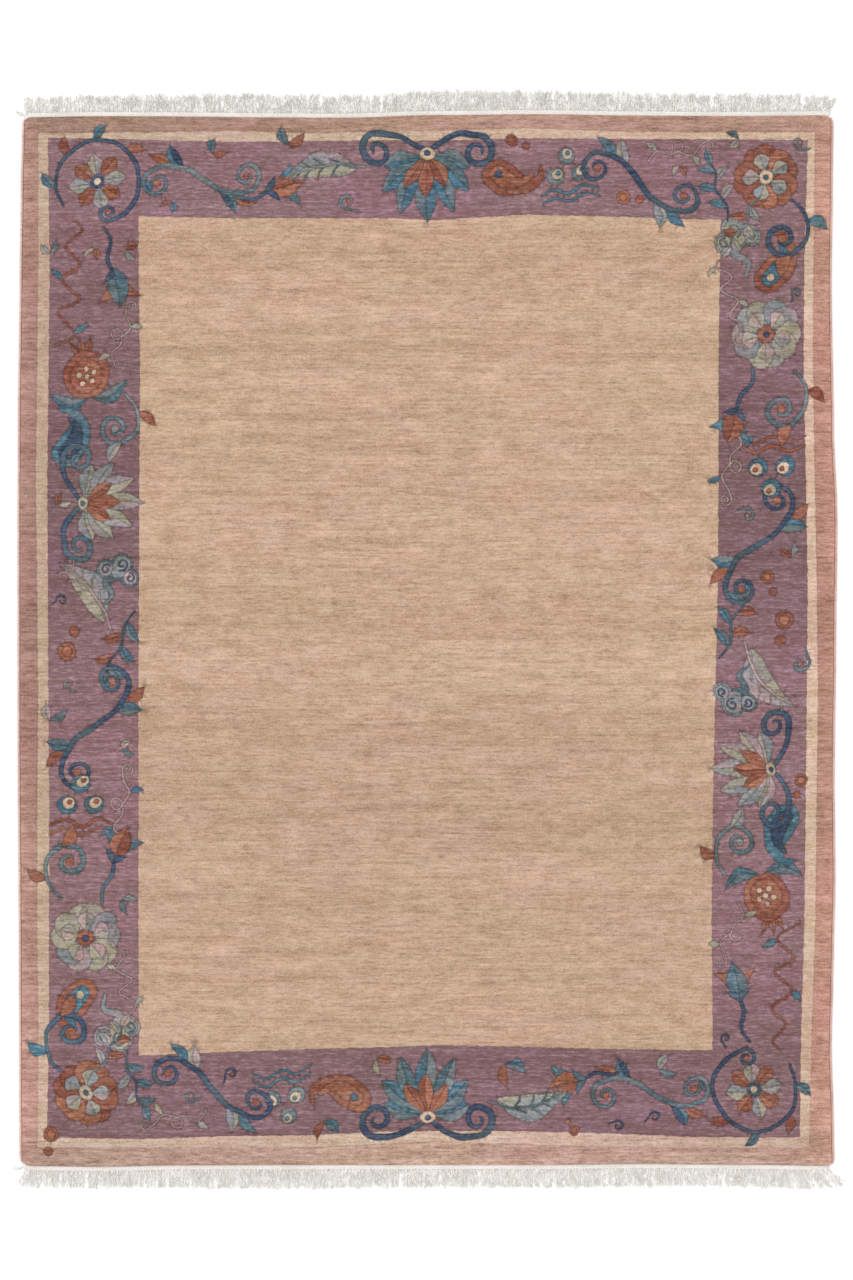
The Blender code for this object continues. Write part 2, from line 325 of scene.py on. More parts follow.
class Band:
    """One closed line round the rug: band, guard or border, from the outside in."""

    def __init__(self, name):
        self.name = name

    def left(self, y):
        return -WIDTH / 2 + inset(SIDES, "left_" + self.name, y / LENGTH + 0.5)

    def right(self, y):
        return WIDTH / 2 - inset(SIDES, "right_" + self.name, y / LENGTH + 0.5)

    def near(self, x):
        return -LENGTH / 2 + inset(ENDS, "near_" + self.name, x / WIDTH + 0.5)

    def far(self, x):
        return LENGTH / 2 - inset(ENDS, "far_" + self.name, x / WIDTH + 0.5)

    def corner(self, side, end):
        """Where two of the lines meet, found by going from one to the other a few times."""
        x, y = side * WIDTH / 2, end * LENGTH / 2
        for _ in range(4):
            x, y = (self.left if side < 0 else self.right)(y), (self.near if end < 0 else self.far)(x)
        return float(x), float(y)

    def line(self, step):
        corners = [self.corner(side, end) for side, end in ((-1, -1), (1, -1), (1, 1), (-1, 1))]
        parts = []
        for k, (start, stop) in enumerate(zip(corners, corners[1:] + corners[:1])):
            run = k % 2
            count = round(abs(stop[run] - start[run]) / step)
            stops = np.linspace(start[run], stop[run], count, endpoint=False)
            across = (self.near, self.right, self.far, self.left)[k](stops)
            parts.append(np.stack([across, stops] if run else [stops, across], 1))
        return np.vstack(parts)

    def holds(self, x, y):
        inside_sides = (x > self.left(y)) & (x < self.right(y))
        return inside_sides & (y > self.near(x)) & (y < self.far(x))


BANDS = [Band(name) for name in ("band", "guard", "border")]
for band in BANDS:
    print(band.name, "line has", len(band.line(LINE_STEP)), "points")

# %% [markdown]
# The motifs are drawn as a weaver draws them, as flat patches of one dye each. A patch
# is a closed line of points, and its heart a few points well inside that line. Most of
# them are lines: a ribbon of changing width follows a flowing line, or a spiral.

# %% Ribbons and spirals
Patch = namedtuple("Patch", "dye points heart")
POINT_STEP = 5.5
END_STEP = 2.5


def flowing(points):
    """A smooth line through a few points."""
    p = np.array(points, float)
    p = np.vstack([2 * p[0] - p[1], p, 2 * p[-1] - p[-2]])
    runs = []
    for a, b, c, d in zip(p, p[1:], p[2:], p[3:]):
        count = max(2, round(np.linalg.norm(c - b) / POINT_STEP))
        t = np.linspace(0, 1, count, endpoint=False)[:, None]
        bend = (2 * a - 5 * b + 4 * c - d) * t**2 + (3 * b - a - 3 * c + d) * t**3
        runs.append(b + ((c - a) * t + bend) / 2)
    return np.vstack([*runs, p[-2:-1]])


def arc(centre, radius, start, sweep, count):
    angles = np.radians(np.linspace(start, start + sweep, count))
    return np.array(centre) + radius * np.stack([np.cos(angles), np.sin(angles)], 1)


def ribbon(dye, points, widths):
    """A drawn line with round ends, whose width runs through the widths given."""
    line = flowing(points)
    ahead = np.gradient(line, axis=0)
    ahead /= np.linalg.norm(ahead, axis=1)[:, None]
    across = np.stack([-ahead[:, 1], ahead[:, 0]], 1)
    stops = np.linspace(0, 1, len(widths))
    half = np.interp(np.linspace(0, 1, len(line)), stops, widths)[:, None] / 2
    facing = np.degrees(np.arctan2(ahead[:, 1], ahead[:, 0]))
    last = arc(line[-1], half[-1], facing[-1] + 90, -180, 2 + int(half[-1, 0] / END_STEP))
    first = arc(line[0], half[0], facing[0] - 90, -180, 2 + int(half[0, 0] / END_STEP))
    left, right = line + across * half, line - across * half
    return Patch(dye, np.vstack([left[:-1], last, right[-2:0:-1], first]), line)


def coil(centre, outer, inner, turns, start):
    """Points of a spiral that winds inwards, anticlockwise where turns is positive."""
    count = max(4, int(abs(turns) * 14))
    angles = math.radians(start) + np.linspace(0, turns * math.tau, count)
    radii = np.linspace(outer, inner, count)
    return [(centre[0] + r * math.cos(a), centre[1] + r * math.sin(a)) for r, a in zip(radii, angles)]


print("a ribbon has", len(ribbon("navy", [(0, 0), (0, 90)], (5, 5)).points), "points")

# %% [markdown]
# The rest are leaves and discs. A leaf or petal runs between two points, with its belly
# where it is widest, and may be dyed in two halves. A finished motif is a list of
# patches, which can be turned, mirrored and made larger as one.


# %% Leaves, discs and whole motifs
MIN_DISC_POINTS, DISC_HEART = 14, 4


def leaf(dyes, base, tip, width, belly=0.5, hook=0.0):
    """A leaf or petal. A second dye colours its right half, and hook bends it sideways."""
    base, tip = np.array(base, float), np.array(tip, float)
    length = np.linalg.norm(tip - base)
    ahead = (tip - base) / length
    across = np.array([-ahead[1], ahead[0]])
    t = np.linspace(0, 1, max(6, round(length / POINT_STEP)))[:, None]
    half = width / 2 * np.sin(math.pi * t ** (math.log(0.5) / math.log(belly)))
    spine = base + ahead * t * length + across * hook * np.sin(math.pi * t)
    left, right = spine + across * half, spine - across * half
    if len(dyes) == 1:
        return [Patch(dyes[0], np.vstack([left, right[-2:0:-1]]), spine[1:-1])]
    halves = np.vstack([left, spine[-2:0:-1]]), np.vstack([spine, right[-2:0:-1]])
    hearts = (left + spine)[1:-1] / 2, (right + spine)[1:-1] / 2
    return [Patch(*patch) for patch in zip(dyes, halves, hearts)]


def disc(dye, centre, radius, squash=1.0):
    count = max(MIN_DISC_POINTS, round(math.tau * radius / POINT_STEP) + 1)
    rim = arc((0, 0), radius, 0, 360, count)[:-1] * (1, squash)
    heart = rim[::2] * max(0.0, 1 - DISC_HEART / radius)
    return Patch(dye, rim + np.array(centre), heart + np.array(centre))


def clock(angle, radius, centre=(0, 0)):
    """The point at this angle clockwise from straight up, and this far from the centre."""
    a = math.radians(angle)
    return (centre[0] + radius * math.sin(a), centre[1] + radius * math.cos(a))


def placed(patches, x=0.0, y=0.0, turn=0.0, size=1.0, flip=False):
    a = math.radians(turn)
    spin = np.array([[math.cos(a), math.sin(a)], [-math.sin(a), math.cos(a)]])
    mirror = np.array([-1 if flip else 1, 1])

    def moved(points):
        return points * mirror * size @ spin + (x, y)

    return [Patch(p.dye, moved(p.points), moved(p.heart)) for p in patches]


def both_sides(patches):
    return patches + placed(patches, flip=True)


def both_ways(patches):
    return patches + placed(patches, turn=180)


print("a leaf has", len(leaf(("sage",), (0, 0), (0, 90), 30)[0].points), "points")

# %% [markdown]
# The border holds the common flowers and clouds of Himalayan weaving, in a layout made
# for this rug: lotus, rosette, peony, pomegranate, tulip and paisley, with scrolls,
# tendrils, sprays, clouds and pearls between them. Each one is a short list of patches
# about its own middle, later patches over earlier ones.


# %% Flowers
def lotus(outer, inner, heart, line):
    stem = [(0, -8), (24, -24), (52, -38), *coil((84, -10), 30, 7, 1.35, -105)]
    made = both_sides([ribbon(line, stem, (7, 11, 11, 8, 5))])
    for angle, length in ((78, 74), (52, 92), (26, 104)):
        made += both_sides(leaf(outer, (0, 0), clock(angle, length), 32, 0.62, -5))
    made += leaf(outer, (0, 0), (0, 112), 34, 0.62)
    made += both_sides(leaf(inner, (0, -2), clock(34, 62), 24, 0.6, -3))
    made += leaf(inner, (0, -2), (0, 68), 26, 0.6)
    return made + [disc(heart, (0, -4), 13, 0.8), disc(line, (0, -5), 5)]


def rosette(even, odd, rim, heart):
    made = []
    for k in range(8):
        made += leaf(even if k % 2 else odd, clock(k * 45, 10), clock(k * 45, 66), 36, 0.62)
    return made + [disc(rim, (0, 0), 17), disc(heart, (0, 0), 9)]


def peony(outer, inner, heart, line):
    made = [disc(outer[k % 2], clock(k * 72 + off, 42), 25) for k in range(5) for off in (-15, 15)]
    for k in range(5):
        made += leaf(inner, clock(k * 72, 8), clock(k * 72, 50), 34, 0.66)
    return made + [disc(heart, (0, 0), 15), disc(line, (0, 0), 6)]


def tulip(petal, side, line):
    made = [ribbon(line, [(0, 2), (6, -24), (-4, -52), (4, -74)], (6, 6, 5))]
    made += both_sides(leaf(side, (0, -2), (36, 46), 24, 0.45, 12))
    made += leaf(petal, (0, -4), (0, 60), 36)
    return made + both_sides(leaf((line,), (0, -6), (20, 14), 11, 0.5, 4))


def pomegranate(rind, flesh, seed, greens):
    made = both_sides(leaf(greens, (0, -40), (70, -22), 26, 0.5, -16))
    made += both_sides(leaf(rind, (6, 34), (20, 64), 12, 0.4)) + leaf(rind, (0, 34), (0, 68), 12, 0.4)
    made += [disc(rind[0], (0, 0), 41, 1.05), disc(flesh, (0, -2), 28, 1.1)]
    seeds_round = [disc(seed, clock(a, 14, (0, -2)), 5) for a in range(0, 360, 72)]
    return made + seeds_round + [disc(seed, (0, -2), 5)]


def paisley(body, inner, heart):
    spine = [(0, -30), (6, -4), (2, 24), (-18, 42), (-36, 36)]
    made = [ribbon(body, spine, (48, 54, 34, 16, 6))]
    made.append(ribbon(inner, [(x * 0.9, y * 0.8 - 5) for x, y in spine[:4]], (26, 30, 16, 6)))
    return made + [disc(heart, (1, -26), 7)]


print("a lotus has", len(lotus(("sage",), ("rust",), "cream", "navy")), "patches")

# %% [markdown]
# Between the flowers run scrolls, wreaths, sprays and tendrils. Each is a line with
# curled ends, drawn after its leaves, so that it lies over their stalks.


# %% Scrolls, sprays and tendrils
def scroll(line, greens, second, berry):
    half = [(0, 0), (34, -26), (72, -38), *coil((92, -6), 32, 8, 1.3, -100)]
    whole = [(-x, -y) for x, y in half[:0:-1]] + half
    leaves = leaf(greens, (36, -28), (58, -78), 28, 0.5, 8)
    leaves += leaf(second, (60, -36), (104, -66), 20, 0.5, -5)
    made = both_ways(leaves) + [ribbon(line, whole, (5, 9, 11, 9, 5))]
    return made + both_ways([disc(berry, (92, -6), 7)])


def wreath(line, greens, second, berry):
    """A ring round another motif, with its end curled in and leaves outside."""
    path = coil((0, 0), 112, 112, -0.8, 215)[:-1] + coil((26, -84), 24, 6, -1.2, -73)
    made = []
    for k, angle in enumerate((-98, -52, -6, 40, 86)):
        made += leaf(second if k % 2 else greens, clock(angle, 110), clock(angle + 16, 152), 26, 0.5, 6)
    return made + [ribbon(line, path, (6, 10, 11, 11, 5)), disc(berry, (26, -84), 6)]


def spray(greens, second, line):
    spine = [(-8, -96), (8, -50), (-6, 0), (8, 46), (0, 78)]
    made = []
    for k, (x, y) in enumerate(((6, -62), (2, -34), (-5, -6), (0, 22), (7, 46))):
        dyes, side = (second, 1) if k % 2 else (greens, -1)
        made += leaf(dyes, (x, y), (x + side * 46, y + 34 - 3 * k), 25, 0.5, side * 7)
    return made + [ribbon(line, spine, (4, 6, 5, 4))] + leaf(greens, (0, 70), (2, 116), 24)


def frond(body, vein):
    """One big pale leaf with its veins, bent towards its tip."""
    made = leaf(body, (0, -84), (10, 92), 66, 0.42, -26)
    for y, x in ((-44, 22), (-10, 27), (24, 24), (52, 18)):
        made.append(ribbon(vein, [(x, y), (x - 14, y + 16), (x - 26, y + 20)], (4, 3)))
        made.append(ribbon(vein, [(x, y), (x + 12, y + 16), (x + 20, y + 26)], (4, 3)))
    return made + [ribbon(vein, [(0, -104), (18, -60), (26, 0), (20, 48), (10, 80)], (5, 6, 5, 3))]


def tendril(line, greens):
    path = [(-104, -14), (-70, 14), (-34, -4), *coil((-8, 14), 17, 14, 0.95, -100), (26, -16), (58, 8)]
    path += coil((86, 2), 17, 5, -1.2, 100)
    leaves = leaf(greens, (-72, 12), (-98, 46), 18, 0.5, -4)
    leaves += leaf(greens, (30, -16), (44, -52), 18, 0.5, 4)
    return leaves + [ribbon(line, path, (4.5, 5, 4))]


def meander(line, greens):
    path = [(-150, 20), (-110, -26), (-66, 18), (-30, -22), (8, 22)]
    path += [(52, -14), (88, 24), (128, -6), (150, 14)]
    leaves = leaf(greens, (-108, -24), (-84, -54), 17) + leaf(greens, (8, 22), (30, 50), 17)
    return [ribbon(line, path, (4, 6, 6, 4))] + leaves


def hook(line, bud, second):
    path = [(-16, -60), (-34, -28), (-30, 12), (0, 38), *coil((14, 8), 31, 8, -1.15, 100)]
    made = leaf(bud, (-32, -20), (-66, 6), 22, 0.5, 6) + [ribbon(line, path, (4, 9, 10, 5))]
    return made + leaf(second, (2, 38), (30, 74), 24, 0.5, -6) + [disc(second[0], (14, 8), 7)]


print("a wreath has", len(wreath("navy", ("teal",), ("rust",), "orange")), "patches")

# %% [markdown]
# Clouds, pearls and seeds are discs inside discs. A cloud's three lobes each hold a small
# spiral, and a tail curls away below them.


# %% Clouds, pearls and seeds
def cloud(rim, fill, line):
    lobes = [((0, 24), 28), ((-32, 2), 23), ((32, 2), 23)]
    made = [ribbon(rim, [(0, -4), (-18, -28), (8, -52), (-6, -82)], (30, 18, 11, 5))]
    made += [disc(rim, place, radius) for place, radius in lobes]
    made += [disc(fill, place, radius - 6) for place, radius in lobes] + [disc(fill, (0, 4), 16)]
    spirals = ((-31, 2), 12, 3, 1.1, 60), ((31, 2), 12, 3, -1.1, 120), ((0, 24), 16, 4, 1.2, -90)
    return made + [ribbon(line, coil(*spiral), (4, 4)) for spiral in spirals]


def pearls(rim, fill, wave):
    made = []
    for x, y in ((-27, 0), (27, 0), (0, 42)):
        made += [disc(rim, (x, y), 19), disc(fill, (x + 3, y + 4), 12), disc(wave, (x + 5, y + 6), 5)]
    for low, wide in ((-36, 8), (-54, 6)):
        water = [(x, low - 6 + 13 * (k % 2)) for k, x in enumerate(range(-66, 67, 33))]
        made.append(ribbon(wave, water, (4, wide, 4)))
    return made


def seeds(rim, fill):
    return [disc(rim, (0, 0), 20), disc(fill, (0, 0), 11), disc(rim, (14, 44), 12)]


print("a cloud has", len(cloud("slate", "grey", "navy")), "patches")

# %% [markdown]
# A weaver's chart often covers half a rug, and the other half is the same chart turned
# round. The list places the motifs of the left side, the far end and two corners: where
# each one lies, how far it is turned clockwise, and its size.

# %% The border's chart
Motif = namedtuple("Motif", "patches x y turn size")
BLUE, STONE, FIRE = ("teal", "slate"), ("sage", "grey"), ("rust", "orange")
CHART = (
    Motif(rosette(FIRE, STONE, "navy", "cream"), -952, 1328, 10, 1.15),
    Motif(wreath("navy", BLUE, ("rust",), "orange"), -952, 1328, 0, 1.0),
    Motif(meander("rust", ("teal",)), -1030, 1030, 82, 1.15),
    Motif(tulip(BLUE, ("orange",), "navy"), -905, 1065, 190, 1.6),
    Motif(pomegranate(FIRE, "orange", "cream", ("slate", "teal")), -985, 770, 10, 1.5),
    Motif(tendril("lilac", ("sage",)), -880, 885, 70, 0.9),
    Motif(paisley("teal", "navy", "orange"), -1025, 590, -20, 1.55),
    Motif(hook("slate", ("orange",), STONE), -885, 625, 185, 1.35),
    Motif(lotus(STONE, FIRE, "cream", "navy"), -990, 400, -90, 1.4),
    Motif(frond(STONE, "lilac"), -1000, 130, 40, 1.15),
    Motif(cloud("slate", "grey", "navy"), -895, 190, -20, 1.1),
    Motif(spray(BLUE, FIRE, "navy"), -890, -20, 160, 1.1),
    Motif(seeds("rust", "orange"), -1040, -30, 0, 1.2),
    Motif(scroll("navy", BLUE, ("rust",), "orange"), -962, -250, 72, 1.4),
    Motif(pearls("teal", "cream", "rust"), -1000, -475, 0, 1.35),
    Motif(tendril("lilac", ("teal",)), -880, -470, 80, 1.0),
    Motif(hook("slate", ("rust",), ("orange",)), -1050, -655, 10, 1.45),
    Motif(tulip(("orange", "rust"), ("teal",), "navy"), -905, -640, -20, 1.6),
    Motif(peony(STONE, ("lilac", "sage"), "orange", "navy"), -985, -860, 0, 1.4),
    Motif(meander("lilac", ("sage",)), -880, -960, 100, 0.85),
    Motif(paisley("rust", "teal", "cream"), -1020, -1065, 150, 1.6),
    Motif(cloud("grey", "sage", "slate"), -900, -1130, 200, 1.2),
    Motif(scroll("slate", ("teal", "navy"), FIRE, "orange"), -650, 1336, 8, 1.3),
    Motif(tulip(FIRE, ("teal",), "navy"), -455, 1300, -75, 1.6),
    Motif(frond(("sage", "grey"), "slate"), -300, 1345, 100, 1.1),
    Motif(lotus(BLUE, FIRE, "cream", "navy"), 0, 1400, 180, 1.6),
    Motif(paisley("rust", "orange", "navy"), 250, 1335, -110, 1.6),
    Motif(pearls("slate", "cream", "teal"), 410, 1350, 8, 1.2),
    Motif(scroll("navy", STONE, ("teal",), "rust"), 620, 1325, -14, 1.35),
    Motif(tendril("lilac", ("sage",)), 735, 1415, 10, 0.9),
    Motif(peony(FIRE, STONE, "cream", "navy"), 985, 1340, 20, 1.3),
    Motif(spray(BLUE, STONE, "navy"), 845, 1310, 20, 0.95),
    Motif(hook("navy", ("teal",), ("orange",)), 1050, 1180, 190, 1.5),
    Motif(spray(STONE, FIRE, "slate"), 915, 1205, 150, 0.9),
)
print(len(CHART), "motifs in half the border")

# %% [markdown]
# The chart is worked twice, the second time turned by half a turn about a point a little
# above the rug's middle. Each time its lines get another wobble.


# %% Working the chart
TURNING_POINT = np.array([0.0, 14.0])
MOTIF_SIZE = 1.08
FIRST_WOBBLE, SECOND_WOBBLE, FILLER_WOBBLE = 0.4, 2.3, 1.1


def wobbled(patch, phase):
    """A patch whose lines slow waves move by a few millimetres, and quick ones by half of one."""

    def moved(points):
        x, y = points[:, 0], points[:, 1]
        across = 3.0 * np.sin(y / 31 + phase) + 1.5 * np.sin(x / 17 + y / 23 + 2 * phase)
        upward = 2.5 * np.sin(x / 37 + 1.7 * phase) + 1.5 * np.sin(x / 13 - y / 29 + phase)
        ragged = 0.6 * np.sin(x * 1.7 + y * 2.3), 0.6 * np.sin(x * 2.1 - y * 1.9)
        return points + np.stack([across + ragged[0], upward + ragged[1]], 1)

    return Patch(patch.dye, moved(patch.points), moved(patch.heart))


def charted():
    made = []
    for motif in CHART:
        patches = placed(motif.patches, motif.x, motif.y, motif.turn, motif.size * MOTIF_SIZE)
        made += [wobbled(patch, FIRST_WOBBLE) for patch in patches]
        turned = placed(patches, *(2 * TURNING_POINT), turn=180)
        made += [wobbled(patch, SECOND_WOBBLE) for patch in turned]
    return made


PATCHES = charted()
print(len(PATCHES), "patches,", sum(len(p.points) for p in PATCHES), "points")

# %% [markdown]
# Small leaves and seeds fill the gaps that are left, as they do on the loom. Places are
# tried at random, always in the same order, and kept where nothing lies near.


# %% Fillers
TRIES = 9000
FILLER_REACH, FILLER_CLEAR, FILLER_APART = 36, 9, 66


def tree_of(points):
    made = kdtree.KDTree(len(points))
    for i, (x, y) in enumerate(points):
        made.insert((x, y, 0.0), i)
    made.balance()
    return made


def leaf_pair(dyes, second):
    return leaf(dyes, (0, -6), (-26, 30), 24, 0.5, 6) + leaf(second, (0, -6), (24, 34), 20, 0.5, -6)


def comma(dye, berry):
    path = [(-20, -24), (-16, 4), *coil((2, 6), 19, 6, -0.9, 170)]
    return [ribbon(dye, path, (4, 9, 5)), disc(berry, (4, 4), 6)]


def fillers(patches):
    rng = np.random.default_rng(5)
    kinds = (
        leaf_pair(BLUE, ("rust",)),
        comma("slate", "orange"),
        leaf_pair(STONE, ("slate",)),
        seeds("rust", "orange"),
        comma("navy", "rust"),
        leaf_pair(("orange", "rust"), ("sage",)),
    )
    _, ground, field = BANDS
    tree = tree_of(np.vstack([p.points for p in patches]))
    places, made = [], []
    for _ in range(TRIES):
        x, y = rng.uniform(-1090, 1090), rng.uniform(-1440, 1450)
        size = rng.uniform(0.75, 1.5)
        reach = FILLER_REACH * size
        free = ground.holds(x, y) and tree.find((x, y, 0.0))[2] > reach + FILLER_CLEAR
        on_field = any(field.holds(x + dx, y + dy) for dx in (-reach, reach) for dy in (-reach, reach))
        crowded = any(math.hypot(x - a, y - b) < reach + FILLER_APART for a, b in places)
        if free and not on_field and not crowded:
            places.append((x, y))
            kind = kinds[len(places) % len(kinds)]
            filler = placed(kind, x, y, rng.uniform(0, 360), size)
            made += [wobbled(patch, FILLER_WOBBLE) for patch in filler]
    print(len(places), "fillers")
    return made


PATCHES = fillers(PATCHES) + PATCHES

# %% [markdown]
# A dye has a crisp edge in the wool, so the surface is cut into triangles along every
# line of the drawing. Blender's Delaunay tool does that from points and the edges that
# must be kept. How often a closed line winds round a place tells whether it lies inside.


# %% Inside a line, and triangles between lines
WINDING_CHUNK = 4_000_000


def inside(points, line):
    """Which points lie inside a closed line, by how often the line winds round them."""
    x, y = points[:, 0][:, None], points[:, 1][:, None]
    x1, y1 = line[:, 0], line[:, 1]
    x2, y2 = np.roll(x1, -1), np.roll(y1, -1)
    turned = np.zeros(len(points), int)
    for part in np.array_split(np.arange(len(points)), 1 + len(points) * len(line) // WINDING_CHUNK):
        left_of = (x2 - x1) * (y[part] - y1) - (x[part] - x1) * (y2 - y1)
        turned[part] = ((y1 <= y[part]) & (y2 > y[part]) & (left_of > 0)).sum(1)
        turned[part] -= ((y1 > y[part]) & (y2 <= y[part]) & (left_of < 0)).sum(1)
    return turned != 0


def closed_edges(count, start):
    return [(start + i, start + (i + 1) % count) for i in range(count)]


def plan_areas(points, faces):
    """Each triangle's area in plan, below zero where it faces down."""
    a, b, c = (points[faces[:, k]] for k in range(3))
    return np.cross(b - a, c - a) / 2


def triangulated(points, edges, merge):
    """Triangles that keep these edges, all facing up. Points nearer than merge become one."""
    places = [Vector(p) for p in points.tolist()]
    points, _, faces, *_ = geometry.delaunay_2d_cdt(places, edges, [], 1, merge)
    points = np.array([tuple(p) for p in points])
    faces = np.array([f for f in faces if len(f) == 3])
    turned = plan_areas(points, faces) < 0
    faces[turned] = faces[turned][:, ::-1]
    return points, faces


# %% [markdown]
# Extra points a few millimetres to each side of a line leave room for the groove that
# the weaver's shears carve along it. A loose grid fills the rest, finer in the border
# than in the plain field, and shaken a little so that no rows show.


# %% Cutting the surface into triangles
SHAKE = 0.18
EDGE_MARGIN = 11.0
ROOM = 0.1
MERGED = 0.08


def loose_grid(step, keep, rng):
    xs = np.arange(-WIDTH / 2, WIDTH / 2, step)
    ys = np.arange(-LENGTH / 2, LENGTH / 2, step * 0.87)
    x, y = np.meshgrid(xs, ys)
    x[1::2] += step / 2
    points = np.stack([x, y], -1).reshape(-1, 2) + rng.uniform(-SHAKE, SHAKE, (x.size, 2)) * step
    return points[keep(points[:, 0], points[:, 1])]


def triangles(outline, rims, patches, groove, line_step, fine, coarse):
    """The rug's plan as triangles: its points and faces, in chart millimetres."""
    rng = np.random.default_rng(8)
    lines = [outline] + [band.line(line_step) for band in BANDS] + [p.points for p in patches]
    edges, count = [], 0
    for line in lines:
        edges += closed_edges(len(line), count)
        count += len(line)
    drawn = np.vstack(lines)
    tree = tree_of(drawn)
    loose = []
    if groove:
        band_lines = lines[1 : len(BANDS) + 1]
        loose = [line + side * groove * outward(line) for line in band_lines for side in (-1, 1)]
        for patch in patches:
            loose += [patch.heart, (patch.points + outward(patch.points) * groove)[::2]]
            loose.append((patch.points - outward(patch.points) * groove)[::2])
    loose.append(loose_grid(fine, lambda x, y: ~BANDS[2].holds(x, y), rng))
    loose.append(loose_grid(coarse, BANDS[2].holds, rng))
    loose = np.vstack(loose)
    inner = outline - outward(outline) * EDGE_MARGIN
    room = [tree.find((x, y, 0.0))[2] > fine * ROOM for x, y in loose]
    loose = loose[np.array(room) & inside(loose, inner)]
    every = np.vstack([drawn, loose, *(outline - outward(outline) * rim for rim in rims)])
    return triangulated(every, edges, MERGED)


# %% [markdown]
# The outer band and the guard stripe weren't dyed in one lot, so their shade drifts from
# side to side and along each side. The border's and the field's lots change along the
# rug's length. Near the cords the band is painted paler: painted light that lifts the shade
# falling in the valley between the pile and the cord.

# %% Dye lots
Drift = namedtuple("Drift", "shade first middle last")
Ring = namedtuple("Ring", "left right far near heather fleck")
OUTER = Ring(
    Drift(linear(172, 133, 121), 1.20, 0.82, 1.02),
    Drift(linear(188, 142, 126), 1.06, 0.80, 1.05),
    Drift(linear(177, 141, 125), 0.73, 0.98, 0.92),
    Drift(linear(194, 160, 145), 0.84, 1.06, 0.96),
    0.9,
    0.84,
)
GUARD = Ring(
    Drift(linear(193, 166, 145), 1.04, 0.98, 0.94),
    Drift(linear(208, 178, 156), 0.94, 1.02, 0.98),
    Drift(linear(202, 174, 153), 0.92, 0.98, 1.07),
    Drift(linear(206, 178, 161), 0.99, 1.02, 0.94),
    0.62,
    0.88,
)
# The lots from the near end to the far one: place and lightness.
BORDER_LOTS = (
    (0.10, 0.94),
    (0.18, 1.08),
    (0.27, 1.10),
    (0.40, 1.12),
    (0.49, 1.04),
    (0.58, 0.86),
    (0.70, 0.84),
    (0.80, 0.96),
    (0.92, 1.06),
)
FIELD_LOTS = ((0.20, 0.97), (0.33, 0.94), (0.40, 0.96), (0.50, 1.0), (0.90, 1.01))
SIDE_BLEND = 45.0
PAINTED_EDGE_LIGHT, PAINTED_EDGE_REACH = 0.28, 16.0


def drifted(ring, x, y):
    """The shade of a band at each place, blended from the sides that it is near."""
    gaps = np.stack([x + WIDTH / 2, WIDTH / 2 - x, LENGTH / 2 - y, y + LENGTH / 2])
    share = np.exp(-gaps / SIDE_BLEND)
    share /= share.sum(0)
    colour = 0.0
    for part, drift, along in zip(share, ring[:4], (y / LENGTH, y / LENGTH, x / WIDTH, x / WIDTH)):
        light = np.interp(along, (-0.5, 0.0, 0.5), (drift.first, drift.middle, drift.last))
        colour = colour + (part * light)[:, None] * drift.shade
    # Painted light near the cords, lifting the shade in the valley between pile and cord.
    worn = 1 + PAINTED_EDGE_LIGHT * np.exp(-gaps[:2].min(0).clip(0) / PAINTED_EDGE_REACH)
    return colour * worn[:, None]


print("band shade at the left side:", drifted(OUTER, np.array([-1150.0]), np.array([0.0])).round(3))

# %% [markdown]
# Each triangle is dyed like paint on a board: first the ground it lies on, then every
# patch in turn, so that a later patch covers an earlier one. Within a patch the dye
# drifts slowly towards its kin, as in wool from several skeins.


# %% Dyeing the triangles
LEAST_LIGHT, MOST_LIGHT = 0.88, 1.12
KIN_SHARE, KIN_SWING, KIN_LIMIT = 0.22, 0.42, 0.85


def dyed(points, faces, patches):
    """Each triangle's main colour with its streakiness, its fleck colour, and its area's number."""
    middle = points[faces].mean(1)
    x, y = middle.T
    main, fleck = np.ones((len(faces), 4)), np.ones((len(faces), 4))
    area = np.zeros(len(faces), int)
    grounds = (OUTER, GUARD, DYES["plum"], DYES["field"])
    for number, ground in enumerate(grounds):
        here = BANDS[number - 1].holds(x, y) if number else np.ones(len(faces), bool)
        area[here] = number
        main[here, 3] = ground.heather
        if isinstance(ground, Ring):
            main[here, :3] = drifted(ground, x[here], y[here])
            fleck[here, :3] = main[here, :3] * ground.fleck
        else:
            table = BORDER_LOTS if ground is DYES["plum"] else FIELD_LOTS
            light = np.interp(y[here] / LENGTH + 0.5, *zip(*table))[:, None]
            main[here, :3] = ground.main * light
            fleck[here, :3] = ground.fleck * light
    rng = np.random.default_rng(12)
    order = np.argsort(x)
    sorted_x = x[order]
    for number, patch in enumerate(patches, len(grounds)):
        low, high = patch.points.min(0), patch.points.max(0)
        near = order[slice(*np.searchsorted(sorted_x, (low[0], high[0])))]
        near = near[(y[near] > low[1]) & (y[near] < high[1])]
        near = near[inside(middle[near], patch.points)]
        dye, lightness = DYES[patch.dye], rng.uniform(LEAST_LIGHT, MOST_LIGHT)
        wave = np.sin(x[near] / 38 + rng.uniform(0, 6)) + np.sin(y[near] / 29 + rng.uniform(0, 6))
        turned = np.clip(KIN_SHARE + KIN_SWING * wave, 0, KIN_LIMIT)[:, None]
        area[near] = number
        main[near, :3] = (dye.main * (1 - turned) + DYES[dye.kin].main * turned) * lightness
        main[near, 3] = dye.heather
        fleck[near, :3] = dye.fleck * lightness
    return main, fleck, area


# %% [markdown]
# Where two dyes meet, the weaver's shears leave a groove. A side that two triangles of
# different areas share lies on such a line. Between two grounds the groove is shallow.


# %% Carved lines
GROUND_GROOVE = 0.35


